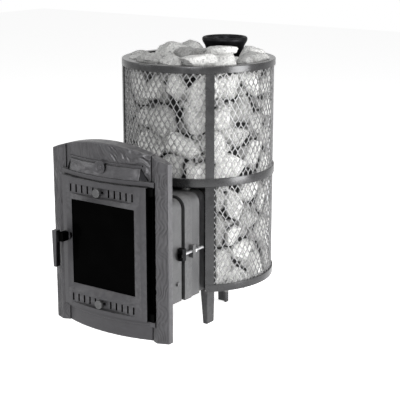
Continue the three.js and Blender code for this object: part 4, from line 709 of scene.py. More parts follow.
# %% Share a wall out among stones
STONE_SIZE = 92.0
WALL_STEP = 8.0
SHARE_ROUNDS = 24
PLACE_STEPS = 0.7548776662, 0.569840291, 0.6180339887


def first_places(low, size, count):
    """Evenly spread first places, and pulls: stone i starts at the fractions of i times fixed steps."""
    number = np.arange(count)
    right, up, pull = ((0.5 + number * step) % 1 for step in PLACE_STEPS)
    return np.stack([low[0] + size[0] * right, low[1] + size[1] * up], -1), 0.78 + 0.52 * pull


def ways_to(wall, middle, wrap):
    """Steps from each middle to each point of a wall, the short way round where the wall closes."""
    gap = wall[:, None] - middle[None]
    if wrap:
        gap[..., 0] -= wrap * np.round(gap[..., 0] / wrap)
    return gap


def share_out(wall, middle, pull, wrap=None):
    """Middles, half lengths, half widths and turns of stones that share a flat set of points. A point
    goes to the stone with the least distance over pull, and twice the root of a share's spread along
    its main directions gives the half sizes, as for a filled ellipse."""
    count = len(middle)
    for _ in range(SHARE_ROUNDS):
        gap = ways_to(wall, middle, wrap)
        owner = np.argmin((gap**2).sum(-1) / pull**2, axis=1)
        own = (owner[:, None] == np.arange(count)).astype(float)
        size = own.sum(0).clip(1)[:, None]
        near = gap[np.arange(len(wall)), owner]
        shift = own.T @ near / size
        middle = middle + shift
    spread = own.T @ (near[:, :, None] * near[:, None, :]).reshape(-1, 4) / size
    spread = spread.reshape(-1, 2, 2) - shift[:, :, None] * shift[:, None, :]
    power, axes = np.linalg.eigh(spread)
    half = 2 * np.sqrt(power.clip(1))
    return middle, half[:, 1], half[:, 0], np.arctan2(axes[:, 1, 1], axes[:, 0, 1])


print("first places of three stones:", first_places((0, 0), (100, 100), 3)[0].round(1).tolist())

# %% [markdown]
# A cobble is a sphere that a river has worked on: stretched, squared a little, swollen here and there,
# and ground flat on a few sides. All stones of a piece are worked out at once as one array.

# %% Shape the cobbles
LARGE_GRID, SMALL_GRID = (19, 28), (9, 12)


def cobbles(middle, axes, half, seed, flats=14, grid=LARGE_GRID):
    """Closed pebbles on a grid of directions d. Each point is half·(sign d)|d|^p, times one plus soft
    waves cos(k·d + phase) of two sizes, pressed back where it passes one of a few planes, then turned to
    the stone's axes and set at its middle."""
    rng = np.random.default_rng(seed)
    count = len(middle)
    up = np.linspace(-np.pi / 2, np.pi / 2, grid[0])[:, None]
    turn = np.linspace(0, 2 * np.pi, grid[1], endpoint=False)[None]
    way = np.stack([np.cos(up) * np.cos(turn), np.cos(up) * np.sin(turn), np.sin(up) + 0 * turn], -1)
    way[np.abs(way) < 1e-9] = 0
    power = rng.uniform(0.62, 0.88, (count, 1, 1, 1))
    body = np.sign(way) * np.abs(way) ** power
    for waves, reach, lift in ((5, 1.8, 0.14), (7, 5.0, 0.05)):
        bend = rng.normal(0, reach, (count, waves, 3))
        phase = rng.uniform(0, 2 * np.pi, (count, 1, 1, waves))
        swollen = np.cos(np.einsum("rcx,swx->srcw", way, bend) + phase).mean(-1)
        body = body * (1 + lift * swollen[..., None])
    for _ in range(flats):
        plane = rng.normal(0, 1, (count, 3))
        plane /= np.linalg.norm(plane, axis=1, keepdims=True)
        reach = rng.uniform(0.6, 0.92, (count, 1, 1))
        over = np.clip(np.einsum("srcx,sx->src", body, plane) - reach, 0, None)
        body = body - 0.96 * over[..., None] * plane[:, None, None]
    body = body / np.abs(body).max(axis=(1, 2), keepdims=True)
    points = middle[:, None, None] + np.einsum("srcx,sxy->srcy", body * half[:, None, None], axes)
    faces = copies(cells(*grid, close_cols=True), count, math.prod(grid))
    return points.reshape(-1, 3), faces.reshape(-1, 4)


def tones(points, seed, grid=LARGE_GRID):
    """A tone for each stone of a set, mostly near white, repeated for each of its points."""
    count = len(points) // math.prod(grid)
    rng = np.random.default_rng(seed)
    tone = 1 - 0.75 * rng.beta(0.7, 2.2, count)
    return np.repeat(tone, math.prod(grid))


print("a large cobble has", (LARGE_GRID[0] - 1) * LARGE_GRID[1], "faces")

# %% [markdown]
# The filling lies between the net and the firebox. Only its outer layer can be seen well, with each stone
# as deep as the gap lets it be. The firebox is straight in front and round at the back, and its distance
# from the axis in each direction follows from that. The wall is unrolled flat to share it out, and then
# each stone is set against the net with its depth towards the axis.

# %% Places against the net
STONE_FACE = CAGE - BAND - 5.0
FIRE_HALF, FIRE_FRONT, FIRE_STRAIGHT = 140.0, 160.0, 80.0
GAP_ROOM, GAP_REACH = 1.0, 22.0


def firebox_reach(angle):
    """How far the firebox reaches from the axis at an angle: its front plane, its side planes, or the
    circle of its back, whichever the ray meets."""
    sine, cosine = np.abs(np.sin(angle)), np.cos(angle)
    flat = np.minimum(FIRE_HALF / np.maximum(sine, 1e-6), FIRE_FRONT / np.maximum(cosine, 1e-6))
    back = -FIRE_STRAIGHT * cosine + np.sqrt(FIRE_HALF**2 - FIRE_STRAIGHT**2 * sine**2)
    return np.where(-back * cosine > FIRE_STRAIGHT, back, flat)


def against_net(middle, lean, radius):
    """Middles and axes of stones at flat places along the wall: depth outwards, length at a lean."""
    outward, level, rise = wall_ways(middle[:, 0] / STONE_FACE)
    length = level * np.cos(lean)[:, None] + rise * np.sin(lean)[:, None]
    breadth = rise * np.cos(lean)[:, None] - level * np.sin(lean)[:, None]
    centre = outward * radius[:, None] + rise * middle[:, 1, None]
    return centre, np.stack([outward, breadth, length], 1)


def gap_places(wall, middle, long, short, lean, wrap):
    """Middles of small stones: again and again the point of the wall that lies furthest out of all the
    stones' ellipses, in parts of their half sizes, takes a stone, and its surroundings are taken."""
    gap = ways_to(wall, middle, wrap)
    lengthways = gap[..., 0] * np.cos(lean) + gap[..., 1] * np.sin(lean)
    sideways = gap[..., 1] * np.cos(lean) - gap[..., 0] * np.sin(lean)
    room = np.hypot(lengthways / long, sideways / short).min(1)
    places = []
    while room.max() > GAP_ROOM:
        places.append(wall[np.argmax(room)])
        room = np.minimum(room, np.hypot(*(wall - places[-1]).T) / GAP_REACH)
    return np.array(places)


print("firebox reaches", round(float(firebox_reach(np.array(np.pi)))), "mm to the back")

# %% [markdown]
# Large stones share the wall, small ones lie further back in the gaps that they leave, painted darker
# as shade, and two more are wedged in where one could see past the filling. Painted shade darkens the
# deeper flanks, and a black core, painted shade too, stands for the stones further in.

# %% Stones behind the net
STONE_SHARE = 1.01
STONE_DEEP = 0.8
SMALL_HALF = np.array([18.0, 0.8 * GAP_REACH, 1.1 * GAP_REACH])
SMALL_BACK, SMALL_SHADE_TONE = (6.0, 15.0), 0.62
WEDGES = np.array([
    # degrees from the front, height, half depth, half breadth, half length
    (309.0, 692.0, 18.0, 20.0, 27.0),
    (302.0, 668.0, 18.0, 20.0, 25.0),
])
WEDGE_BACK = 20.0
CORE_RADIUS, CORE_COVER, CORE_SIDES = 218.0, 8.0, 96
SHADE_FROM, SHADE_OVER = 210.0, 19.0


def stones_behind_net(angles, low, high, seed, wrap=None):
    """Stones whose long and short sides lie along the wall and whose depth points to the axis, and the
    small stones in the gaps that they leave."""
    corner = np.array([angles[0] * STONE_FACE, low])
    size = np.array([angles[1] * STONE_FACE, high]) - corner
    count = round(size[0] * size[1] / STONE_SIZE**2)
    grid = np.meshgrid(*(np.arange(0, side, WALL_STEP) for side in size), indexing="ij")
    wall = np.stack(grid, -1).reshape(-1, 2) + corner
    middle, long, short, lean = share_out(wall, *first_places(corner, size, count), wrap)
    deepest = (STONE_FACE - 2 - firebox_reach(middle[:, 0] / STONE_FACE)) / 2
    depth = np.minimum(deepest, (long + short) / 2 * STONE_DEEP)
    half = np.stack([depth, short * STONE_SHARE, long * STONE_SHARE], -1)
    large = cobbles(*against_net(middle, lean, STONE_FACE - depth), half, seed)
    small = gap_places(wall, middle, long, short, lean, wrap)
    rng = np.random.default_rng(seed + 50)
    small_lean = rng.uniform(0, np.pi, len(small))
    small_half = SMALL_HALF * rng.uniform(0.85, 1.15, (len(small), 1))
    small_face = STONE_FACE - rng.uniform(*SMALL_BACK, len(small))
    small_place = against_net(small, small_lean, small_face - small_half[:, 0])
    return large, cobbles(*small_place, small_half, seed + 51, grid=SMALL_GRID)


def core(low, high, front):
    """The filling further in: a circle that gives way to the firebox's back, no further than a front."""
    angle = np.linspace(0, 2 * np.pi, CORE_SIDES, endpoint=False)
    radius = np.maximum(CORE_RADIUS, firebox_reach(angle) + CORE_COVER)
    plan = np.stack([radius * np.sin(angle), np.maximum(-radius * np.cos(angle), front)], -1)
    return capped(np.stack([np.column_stack([plan, np.full(CORE_SIDES, z)]) for z in (low, high)]))


fill_low, fill_high = heights("stone_fill")
bay, turn = math.radians(BAY), 2 * np.pi
upper = stones_behind_net((0, turn), middle_low, fill_high, 12, wrap=turn * STONE_FACE)
lower = stones_behind_net((bay, turn - bay), fill_low, middle_low, 22)
for points, faces in lower:
    points[:, 1] = np.maximum(points[:, 1], 2.0 - FIRE_FRONT)
wedge_middle = WEDGES[:, :2] * (math.radians(1) * STONE_FACE, 1)
upright, wedge_radius = np.full(len(WEDGES), np.pi / 2), np.full(len(WEDGES), STONE_FACE - WEDGE_BACK)
wedges = cobbles(*against_net(wedge_middle, upright, wedge_radius), WEDGES[:, 2:], 62)
large_stones, small_stones = joined([upper[0], lower[0], wedges]), joined([upper[1], lower[1]])
cores = joined([core(middle_low, fill_high - 12, -CAGE), core(fill_low, middle_low - 1, 0.5 - FIRE_FRONT)])
stone_points = np.concatenate([large_stones[0], small_stones[0]])
# Painted shade: stones darken towards the axis, down to a tenth of their tone.
depth_shade = np.clip((np.hypot(stone_points[:, 0], stone_points[:, 1]) - SHADE_FROM) / SHADE_OVER, 0.1, 1)
# The small stones in the gaps get a lower tone as painted shade.
small_shaded_tones = SMALL_SHADE_TONE * tones(small_stones[0], 32, SMALL_GRID)
stone_tones_and_shade = np.concatenate([tones(large_stones[0], 31), small_shaded_tones]) * depth_shade
# The core's tone is zero, which paints it near black as shade.
wall_tone_and_shade = np.concatenate([stone_tones_and_shade, np.zeros(len(cores[0]))])
piece("wall_stones", joined([large_stones, small_stones, cores]), ("stone_fill",), tone=wall_tone_and_shade, bend=30)
print(len(stone_points), "points on the stones behind the net")

# %% [markdown]
# The stones stand up over the rim in a heap. A level layer fills the ring round the flue collar, and
# larger cobbles lie on it, each one placed as the heap shows them.

# %% Heap above the rim
FLUE_Y = (span("flue_collar")[0][1] + span("flue_collar")[1][1]) / 2
FLUE_CLEAR = 80.0
BED_RADIUS, BED_COUNT, BED_DEPTH, BED_SHARE = 222.0, 30, 20.0, 1.05
BED_Z = rim_high - 22
bed_line = np.arange(-27, 28) * WALL_STEP
bed = np.stack(np.meshgrid(bed_line, bed_line, indexing="ij"), -1).reshape(-1, 2)
bed_inside = np.hypot(bed[:, 0], bed[:, 1]) < BED_RADIUS
bed = bed[bed_inside & (np.hypot(bed[:, 0], bed[:, 1] - FLUE_Y) > FLUE_CLEAR)]
bed_start = bed[np.linspace(0, len(bed) - 1, BED_COUNT).astype(int)]
bed_middle, bed_long, bed_short, bed_turn = share_out(bed, bed_start, np.ones(BED_COUNT))
bed_centre = np.column_stack([bed_middle, np.full(BED_COUNT, BED_Z)])
MOUTH = CAGE - BAND - LIP
HEAP = np.array([
    # x and y in parts of the rim's mouth, rise, half sizes in parts of half a stone, turn, tone
    (0.46, -0.68, 0.16, 1.4, 0.92, 0.6, 37, 0.8),
    # This stone's tone is lowered as painted shade that parts it from the stone before.
    (0.77, -0.42, 0.18, 0.97, 0.83, 0.6, 34, 0.74),
    (0.72, -0.38, 0.79, 0.92, 0.74, 0.37, 25, 0.84),
    (0.13, -0.81, 0.07, 0.92, 0.78, 0.51, 25, 0.7),
    (-0.27, -0.81, -0.02, 1.06, 0.83, 0.55, -18, 0.5),
    (-0.64, -0.6, -0.07, 0.92, 0.78, 0.41, -48, 0.7),
    (-0.27, -0.3, 0.4, 1.1, 0.92, 0.74, 28, 0.65),
    (-0.85, -0.23, -0.11, 0.97, 0.69, 0.41, 75, 0.6),
    (-0.3, 0.2, 0.22, 1.1, 1.01, 0.74, -20, 0.6),
    (-0.8, 0.23, -0.02, 1.06, 0.83, 0.51, 100, 0.7),
    (-0.58, 0.62, 0.02, 1.1, 0.83, 0.55, 130, 0.8),
    (0.08, -0.32, 0.3, 1.2, 1.01, 0.74, -15, 0.4),
    (0.45, -0.16, 0.25, 1.15, 0.97, 0.69, 60, 0.75),
    (0.88, -0.09, -0.02, 0.6, 0.55, 0.41, 0, 0.5),
    (0.82, 0.26, 0.02, 0.92, 0.78, 0.55, 75, 0.55),
    (0.55, 0.58, 0.07, 1.15, 0.87, 0.6, -45, 0.8),
    (0.16, 0.16, 0.11, 1.01, 0.87, 0.64, 10, 0.7),
])


def level_axes(turn):
    """Axes of a stone that lies level: its depth points up, its length to the turn in plan."""
    zero, one = 0 * turn, 0 * turn + 1
    up = np.stack([zero, zero, one], -1)
    length = np.stack([np.cos(turn), np.sin(turn), zero], -1)
    breadth = np.stack([-np.sin(turn), np.cos(turn), zero], -1)
    return np.stack([up, breadth, length], 1)


bed_half = np.column_stack([np.full(BED_COUNT, BED_DEPTH), bed_short * BED_SHARE, bed_long * BED_SHARE])
bed_stones = cobbles(bed_centre, level_axes(bed_turn), bed_half, 42)
heap_middle = HEAP[:, :3] * (MOUTH, MOUTH, STONE_SIZE / 2) + (0, 0, rim_high)
heap_half = HEAP[:, [5, 4, 3]] * STONE_SIZE / 2
heap_stones = cobbles(heap_middle, level_axes(np.radians(HEAP[:, 6])), heap_half, 43)
heap_tone = np.concatenate([tones(bed_stones[0], 44), np.repeat(HEAP[:, 7], math.prod(LARGE_GRID))])
piece("heap_stones", joined([bed_stones, heap_stones]), ("stone_heap",), tone=heap_tone, bend=30)
print("heap of", BED_COUNT + len(HEAP), "stones")

# %% [markdown]
# The flue collar is a black cast socket with a flared mouth and a thick round lip. A turned outline
# with enough steps keeps its edge smooth.

# %% Flue collar
collar_foot, collar_top = heights("flue_collar")
collar_side = np.array([
    (63.5, collar_foot), (63.5, collar_top - 44), (64.5, collar_top - 35), (67.5, collar_top - 27),
    (72.0, collar_top - 20), (75.4, collar_top - 13), (76.0, collar_top - 8), (75.0, collar_top - 3.4),
    (72.2, collar_top - 0.7), (69.0, collar_top), (64.5, collar_top - 1.2), (61.2, collar_top - 5),
    (60.0, collar_top - 11), (60.0, collar_top - 37), (57.6, collar_top - 45), (57.6, collar_foot)])
collar_ring, collar_faces = whole_ring(collar_side, 96)
piece("collar", (collar_ring + (0, FLUE_Y, 0), collar_faces), ("flue_collar",), bend=60)
print("collar mouth at", round(collar_top), "mm")

# %% [markdown]
# The portal's front is bowed like a bay window and ends in an arch. Both curves are arcs of circles,
# set by how far they rise over their width.

# %% Bow and arch of the portal
PORTAL_BACK = span("portal_crown")[1][1]
PORTAL_HALF = span("portal_pilaster_right")[1][0]
PORTAL_LOW = span("portal_apron")[0][2]
SIDE_TOP, ARCH_RISE = 628.0, 44.0
BOW_HALF, BOW_RISE = 165.4, 27.5
BOW_EDGE = PORTAL_BACK - 23.0


def bow(x):
    """Y of the bowed front: an arc that stands BOW_RISE in front of its two ends."""
    radius = (BOW_HALF**2 + BOW_RISE**2) / (2 * BOW_RISE)
    return BOW_EDGE - BOW_RISE + radius - np.sqrt(radius**2 - x**2)


def arch(x):
    """Height of the arched top: an arc that stands ARCH_RISE over the portal's two sides."""
    radius = (PORTAL_HALF**2 + ARCH_RISE**2) / (2 * ARCH_RISE)
    return SIDE_TOP + ARCH_RISE - radius + np.sqrt(radius**2 - x**2)


def edge_fall(share, width, radius):
    """How far a face falls back near its ends, as the quarter of a circle of the given radius."""
    near = np.clip(1 - np.minimum(share, 1 - share) * width / radius, 0, 1)
    return radius * (1 - np.sqrt(1 - near**2))


def eased(count, width, radius):
    """Shares from 0 to 1 with extra lines inside the rounded ends."""
    ends = radius / width * (1 - np.cos(np.linspace(0, np.pi / 2, 5)[:-1]))
    return np.concatenate([ends, np.linspace(radius / width, 1 - radius / width, count), 1 - ends[::-1]])


print("bow from", round(float(bow(0.0))), "to", BOW_EDGE, "mm, arch top", round(float(arch(0.0))))

# %% [markdown]
# The crown is cast to look hewn: strokes fan out over it, deeper towards the right. The strokes are
# real relief. Heights are read in polar coordinates about a point above the arch, in long narrow cells,
# so that the cells become strokes, and they are calm near the edges and round the plaque.

# %% Crown of the portal
CROWN_HALF = 164.3
CROWN_TALL, CROWN_ROUND = 86.0, 2.5
LEDGE_LOW, LEDGE_HIGH = 558.4, 572.4
STROKES_X, STROKES_Z = -94.0, 810.0
BEAD_HALF = 141.0


def bowed_panel(columns, rows, tall, rounding, low, high):
    """A grid over the bow from a low line up to a high one, with extra lines at its rounded edges: shares
    across and up, X and Z, and how far the face falls back at the edges."""
    wide = 2 * CROWN_HALF
    across, up = np.meshgrid(eased(columns, wide, CROWN_ROUND), eased(rows, tall, rounding), indexing="ij")
    x = (across * 2 - 1) * CROWN_HALF
    fall = edge_fall(across, wide, CROWN_ROUND) + edge_fall(up, tall, rounding)
    return across, up, x, low + (high(x) - low) * up, fall


def hewn(x, z):
    """Depth of the strokes at a place on the crown, in millimetres: ridges along rays from a point above
    the arch, wavy, with finer ones between, shallow at the left and deep at the right."""
    turn = np.arctan2(x - STROKES_X, STROKES_Z - z) * 180
    reach = np.hypot(x - STROKES_X, STROKES_Z - z)
    turn = turn + 1.6 * np.sin(reach / 13)
    strokes = 1 - np.abs(swell(turn / 8, reach / 38, 51)) * 2
    fine = swell(turn / 4 + 9, reach / 16, 52)
    broad = swell(x / 60 + 3, z / 40 + 5, 53)
    depth = np.clip(0.42 + x / 170, 0.18, 1.1)
    return (3.2 * strokes + 1.3 * fine + 1.0 * broad) * depth


across, up, x, z, fall = bowed_panel(220, 62, CROWN_TALL, CROWN_ROUND, LEDGE_HIGH - 3, arch)
calm = np.clip(np.minimum(across, 1 - across) * 40, 0, 1) * np.clip(np.minimum(up, 1 - up) * 14, 0, 1)
over_plaque = np.clip((z - span("crown_plaque")[1][2] - 9) / 9, 0.1, 1)
calm = calm * np.maximum(over_plaque, np.clip((np.abs(x) - BEAD_HALF) / 8, 0, 1))
crown = backed(x, bow(x) + fall - hewn(x, z) * calm, z, PORTAL_BACK)
piece("crown", crown, ("portal_crown",), bend=50, look="hewn_iron_lit_and_shaded")
print("crown relief from", hewn(x, z).min().round(2), "to", hewn(x, z).max().round(2), "mm")

# %% [markdown]
# A ledge runs along the crown's foot and a lip along the apron's head, each a rounded bar that follows
# the bow and ends on the pilasters.

# %% Ledge and lip
LEDGE_REACH = 176.4
LIP_LOW, LIP_HIGH = 127.6, 141.6


def bow_bar(low, high, inner, outer, radius, half=LEDGE_REACH):
    """A rounded section of distance in front of the bow and height, carried along the bow."""
    section = rounded([(outer, low), (outer, high), (inner, high), (inner, low)], radius)
    x = np.linspace(-half, half, 90)[:, None]
    points = np.stack([x + 0 * section[:, 0], bow(x) - section[:, 0], section[:, 1] + 0 * x], -1)
    return capped(points)


piece("ledge", bow_bar(LEDGE_LOW, LEDGE_HIGH, -9.0, 14.0, 2.6), slot="portal_iron")
piece("lip", bow_bar(LIP_LOW, LIP_HIGH, -9.0, 7.0, 2.6), slot="portal_iron")
print("ledge and lip reach", LEDGE_REACH, "mm to each side")

# %% [markdown]
# The apron under the door is plain and smooth, with only a slight unevenness of the casting.

# %% Apron
APRON_TOP, APRON_TALL, APRON_ROUND = 138.0, 60.0, 3.0
across, up, x, z, fall = bowed_panel(90, 16, APRON_TALL, APRON_ROUND, PORTAL_LOW, lambda x: APRON_TOP)
apron = backed(x, bow(x) + fall - 0.25 * swell(x / 30, z / 22, 61), z, PORTAL_BACK)
piece("apron", apron, ("portal_apron",), bend=50)
print("apron", x.shape, "points")

# %% [markdown]
# Each pilaster has a sharp upright ridge between a slanted inner face and a broad outer face with a wavy
# relief like the grain of wood. In plan it is a line of three points with a rounded ridge, carried up from
# the portal's foot to the arch. The right one is cut away beside the door, where the hinge has its
# pocket, and a block closes the pocket's back.

# %% Pilasters
RIDGE_X, RIDGE_Y = 187.4, PORTAL_BACK - 34.0
CORNER_Y = PORTAL_BACK - 20.0
POCKET_X = 183.0
PILASTER_WIDE, PILASTER_ROUND = 58.0, 2.0
BEARING_LOW, BEARING_HIGH = (164.0, -481.0), (184.0, -463.0)


def pilaster_face(x):
    """Y of a pilaster's front: two straight slopes that meet at the ridge, rounded by a small smooth
    maximum."""
    inner = BOW_EDGE + (RIDGE_Y - BOW_EDGE) * (x - BOW_HALF) / (RIDGE_X - BOW_HALF)
    outer = RIDGE_Y + (CORNER_Y - RIDGE_Y) * (x - RIDGE_X) / (PORTAL_HALF - RIDGE_X)
    gap = np.abs(inner - outer)
    return np.maximum(inner, outer) + np.clip(2.0 - gap, 0, None) ** 2 / 8


def grained(x, z):
    """Height of the relief: upright grooves, a sine of x, which a broad swell and a wave of the height bend
    sideways, with a finer swell on top."""
    bent = x + 16.0 * swell(x / 26, z / 34, 71) + 1.2 * np.sin(z / 8)
    fine = swell(x / 6 + 7, z / 16, 72)
    return 0.75 * np.sin(bent * 2 * np.pi / 9) + 0.9 * fine


def pilaster(side, inner_edge):
    """A closed slab from the inner end, which moves to another edge beside the door, to the outer corner."""
    stretches = (
        (PORTAL_LOW, LIP_HIGH, 24, BOW_HALF), (LIP_HIGH, LEDGE_LOW, 130, inner_edge),
        (LEDGE_LOW, arch(BOW_HALF), 30, BOW_HALF))
    level = np.concatenate([np.linspace(low, high, count) for low, high, count, edge in stretches])
    inner = np.concatenate([np.full(count, edge + 0.8) for low, high, count, edge in stretches])[:, None]
    t = eased(46, PILASTER_WIDE, PILASTER_ROUND)
    x = inner + (PORTAL_HALF - inner) * t
    z = np.minimum(level[:, None] + 0 * x, arch(x) - 0.2)
    calm = np.clip(np.minimum(t, 1 - t) * 12, 0, 1)
    calm = calm * np.clip((arch(x) - z) / 6, 0, 1) * np.clip((z - PORTAL_LOW) / 6, 0, 1)
    fall = edge_fall(t + 0 * x, PILASTER_WIDE, PILASTER_ROUND)
    y = pilaster_face(x) + fall - grained(x * side + 300, z) * calm
    return backed(side * x, np.minimum(y, PORTAL_BACK - 1), z, PORTAL_BACK)


def upright_block(low, high, radius):
    """A rounded rectangle in plan carried straight up between two corners."""
    plan = rounded([(low[0], low[1]), (high[0], low[1]), (high[0], high[1]), (low[0], high[1])], radius)
    return capped(np.stack([np.column_stack([plan, np.full(len(plan), z)]) for z in (low[2], high[2])]))


bearings = [
    upright_block((*BEARING_LOW, low), (*BEARING_HIGH, high), 2.0)
    for low, high in ((LIP_LOW, LIP_HIGH), (LEDGE_LOW, LEDGE_HIGH))
]
pocket = (BOW_HALF, PORTAL_BACK - 20.0, LIP_HIGH), (POCKET_X + 2, PORTAL_BACK, LEDGE_LOW)
right = joined([pilaster(1, POCKET_X), upright_block(*pocket, 0.5)])
piece("pilaster_right", right, ("portal_pilaster_right",), bend=50, look="hewn_iron_lit_and_shaded")
piece("pin_bearings", joined(bearings), slot="portal_iron")
piece("pilaster_left", pilaster(-1, BOW_HALF), ("portal_pilaster_left",), bend=50, look="hewn_iron_lit_and_shaded")
print("pilaster ridge at", RIDGE_X, "mm")

# %% [markdown]
# On the ledge stands a plaque like a hipped roof: thick at its foot, thin at its head, with slanted ends
# that are black as painted shade, and a thin bead over it. The plaque is a slab that stands further out at
# its foot.

# %% Plaque
PLAQUE_LOW, PLAQUE_HIGH = heights("crown_plaque")
PLAQUE_TALL = PLAQUE_HIGH - PLAQUE_LOW
PLAQUE_FOOT, PLAQUE_HEAD = 155.4, 135.4
PLAQUE_FOOT_OUT, PLAQUE_HEAD_OUT = 13.0, 5.0
PLAQUE_WIDE, PLAQUE_ROUND, PLAQUE_SUNK = 300.0, 3.0, 4.0


def plaque_out(t):
    """How far the plaque stands in front of the bow, from its foot at 0 to its head at 1."""
    return PLAQUE_FOOT_OUT + (PLAQUE_HEAD_OUT - PLAQUE_FOOT_OUT) * t


plaque_lines = eased(110, PLAQUE_WIDE, PLAQUE_ROUND), eased(22, PLAQUE_TALL, PLAQUE_ROUND)
s, t = np.meshgrid(*plaque_lines, indexing="ij")
x, z = (s * 2 - 1) * PLAQUE_HEAD, PLAQUE_LOW + PLAQUE_TALL * t
sink = edge_fall(s, PLAQUE_WIDE, PLAQUE_ROUND) + edge_fall(t, PLAQUE_TALL, PLAQUE_ROUND)
dimple = 1.9 * swell(x / 34 + 4, z / 17, 81) + 0.8 * swell(x / 13, z / 9, 82)
plaque_y = bow(x) - plaque_out(t) + np.minimum(sink, PLAQUE_ROUND) - dimple
plaque = backed(x, plaque_y, z, bow(x) + PLAQUE_SUNK)
piece("plaque", plaque, ("crown_plaque",), bend=50, look="hewn_iron_lit_and_shaded")


def plaque_hip_shade(side):
    """A wedge at a plaque's end, black as painted shade: a triangle in front view, from the head's corner
    down to the foot, that falls back to the crown."""
    t = np.linspace(0, 0.96, 12)[:, None]
    share = np.linspace(0, 1, 8)[None]
    x = PLAQUE_HEAD + 0.3 + (PLAQUE_FOOT - PLAQUE_HEAD) * (1 - t) * share
    out = (plaque_out(t) - 3.2) * (1 - share) + 3.4 * share
    return backed(side * x, bow(x) - out, PLAQUE_LOW + PLAQUE_TALL * t + 0 * x, bow(x) + PLAQUE_SUNK)


# The wedges wear a near-black finish as painted shade.
piece("plaque_hip_shades", joined([plaque_hip_shade(-1), plaque_hip_shade(1)]), slot="plate_steel", bend=50)
bead = bow_bar(PLAQUE_HIGH + 5, PLAQUE_HIGH + 9, -4.0, 4.6, 1.6, half=BEAD_HALF)
piece("plaque_bead", bead, slot="portal_iron")
print("plaque", x.shape, "points")

# %% [markdown]
# A round boss with a raised rim sits on the plaque's middle, and the two air slides have round knobs with
# a soft rim and a shallow dish. All three are turned: an outline carried round a line that points forward.

# %% Boss and knobs


def turned_piece(name, outline, cad, **settings):
    """An outline of radius and depth, turned about the middle of a CAD node and starting at its front."""
    low, high = span(cad)
    shell = turned_along_y(outline + (0, low[1]), (low[0] + high[0]) / 2, (low[2] + high[2]) / 2)
    piece(name, shell, (cad,), bend=40, **settings)


BOSS_R = span("crown_medallion")[1][0]
boss_side = np.array([
    (0.0, 0.0), (5.0, 0.2), (6.6, 1.2), (7.6, 2.7), (9.0, 3.0), (BOSS_R - 9.5, 3.0), (BOSS_R - 8.0, 2.4),
    (BOSS_R - 6.6, 0.8), (BOSS_R - 5.2, 0.0), (BOSS_R - 2.6, 0.0), (BOSS_R - 0.8, 0.7), (BOSS_R, 2.4),
    (BOSS_R, 13.0), (0.0, 13.0)])
turned_piece("boss", boss_side, "crown_medallion")
knob_side = np.array([
    (0.0, 0.9), (6.0, 0.7), (8.6, 0.1), (10.6, 0.0), (12.4, 0.6), (13.4, 2.0), (13.5, 4.0), (13.5, 9.0),
    (13.0, 10.4), (11.5, 11.0), (4.0, 11.0), (4.0, 30.3), (0.0, 30.3)])
for row in ("upper", "lower"):
    turned_piece(row + "_turned_knob", knob_side, row + "_knob", slot="tunnel_iron", body=row + "_air")
print("boss of radius", round(BOSS_R, 1), "mm and two knobs")

# %% [markdown]
# The stage is a plain pale floor and a white world. A camera sees them white, and so do mirror-like
# reflections, but the light that they give the object is set apart, at a plain level, and the floor
# keeps the object's shadow.

# %% Stage
WORLD_LIGHT = 0.1
FLOOR_HALF, FLOOR_Z, FLOOR_GLOW = 9.0, -0.0005, 0.86


def seen(tree):
    """One for the rays that show the background: from the camera, off gloss, or through glass."""
    rays = node(tree, "LightPath").outputs
    shown = reckon(tree, "MAXIMUM", rays["Is Camera Ray"], rays["Is Glossy Ray"])
    return reckon(tree, "MAXIMUM", shown, rays["Is Transmission Ray"])


world = bpy.data.worlds.new("studio")
bpy.context.scene.world = world
world.use_nodes = True
sky = world.node_tree
sky.nodes.clear()
level = stretch(sky, seen(sky), 0.0, 1.0, WORLD_LIGHT, 1.0)
white = node(sky, "Background", {"Color": (1, 1, 1, 1), "Strength": level})
node(sky, "OutputWorld", {"Surface": white.outputs[0]})

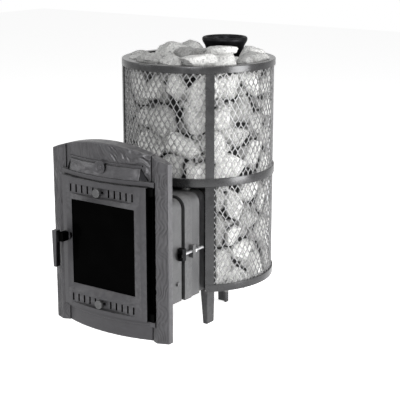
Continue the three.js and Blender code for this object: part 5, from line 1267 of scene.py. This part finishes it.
floor_mesh = bpy.data.meshes.new("floor")
floor_corners = [(x * FLOOR_HALF, y * FLOOR_HALF, FLOOR_Z) for x, y in ((-1, -1), (1, -1), (1, 1), (-1, 1))]
floor_mesh.from_pydata(floor_corners, [], [(0, 1, 2, 3)])
floor = bpy.data.objects.new("floor", floor_mesh)
bpy.context.scene.collection.objects.link(floor)
pale_tree, pale_shader = new_finish("pale_floor")[:2]
fill(pale_tree, pale_shader, {
    "Base Color": (0.85, 0.85, 0.85, 1), "Roughness": 0.9, "Specular IOR Level": 0.0,
    "Emission Color": (1, 1, 1, 1),
    "Emission Strength": stretch(pale_tree, seen(pale_tree), 0.0, 1.0, 0.0, FLOOR_GLOW)})
floor_mesh.materials.append(finish["pale_floor"])
print("floor", 2 * FLOOR_HALF, "m wide")

# %% [markdown]
# Four large soft lamps light the heater: a key from the right, which models the round cage, and fills from
# above, from the front and from the left.

# %% Lamps


def lamp(name, place, aim, size, power):
    """A soft lamp of a width and height at a place, turned towards a point."""
    light = bpy.data.lights.new(name, "AREA")
    light.shape = "RECTANGLE"
    light.size, light.size_y = size
    light.energy = power
    made = bpy.data.objects.new(name, light)
    made.location = place
    away = np.array(place) - np.array(aim)
    flat = math.hypot(away[0], away[1])
    made.rotation_euler = (math.atan2(flat, away[2]), 0, math.atan2(away[0], -away[1]))
    bpy.context.scene.collection.objects.link(made)


lamp("key_from_right", (1.8, 0.3, 0.95), (0, 0.3, 0.85), (0.8, 1.7), 64)
lamp("top_fill", (0.2, -0.4, 3.4), (0, 0, 0.5), (2.0, 2.0), 40)
lamp("front_fill", (1.5, -2.9, 1.9), (0, 0, 0.5), (1.2, 1.2), 92)
lamp("left_fill", (-2.4, -1.8, 1.6), (0, 0, 0.5), (1.4, 1.4), 22)
print(len(bpy.data.lights), "lamps")

# %% [markdown]
# The camera stands a little above the rim, to the right of the portal, with a long lens, as in a
# catalogue picture. Its place was found by fitting the rings' ellipses and the portal's corners.

# %% Camera
camera = bpy.data.cameras.new("camera")
camera.lens = 103.2
camera.sensor_width = 36
seat = bpy.data.objects.new("camera", camera)
seat.location = (2.170, -3.030 + AXIS[1], 1.342)
seat.rotation_euler = (math.radians(90 - 14.24), 0, math.radians(35.545))
bpy.context.scene.collection.objects.link(seat)
bpy.context.scene.camera = seat
bpy.context.scene.view_settings.view_transform = "Standard"
print("lens", camera.lens, "mm")
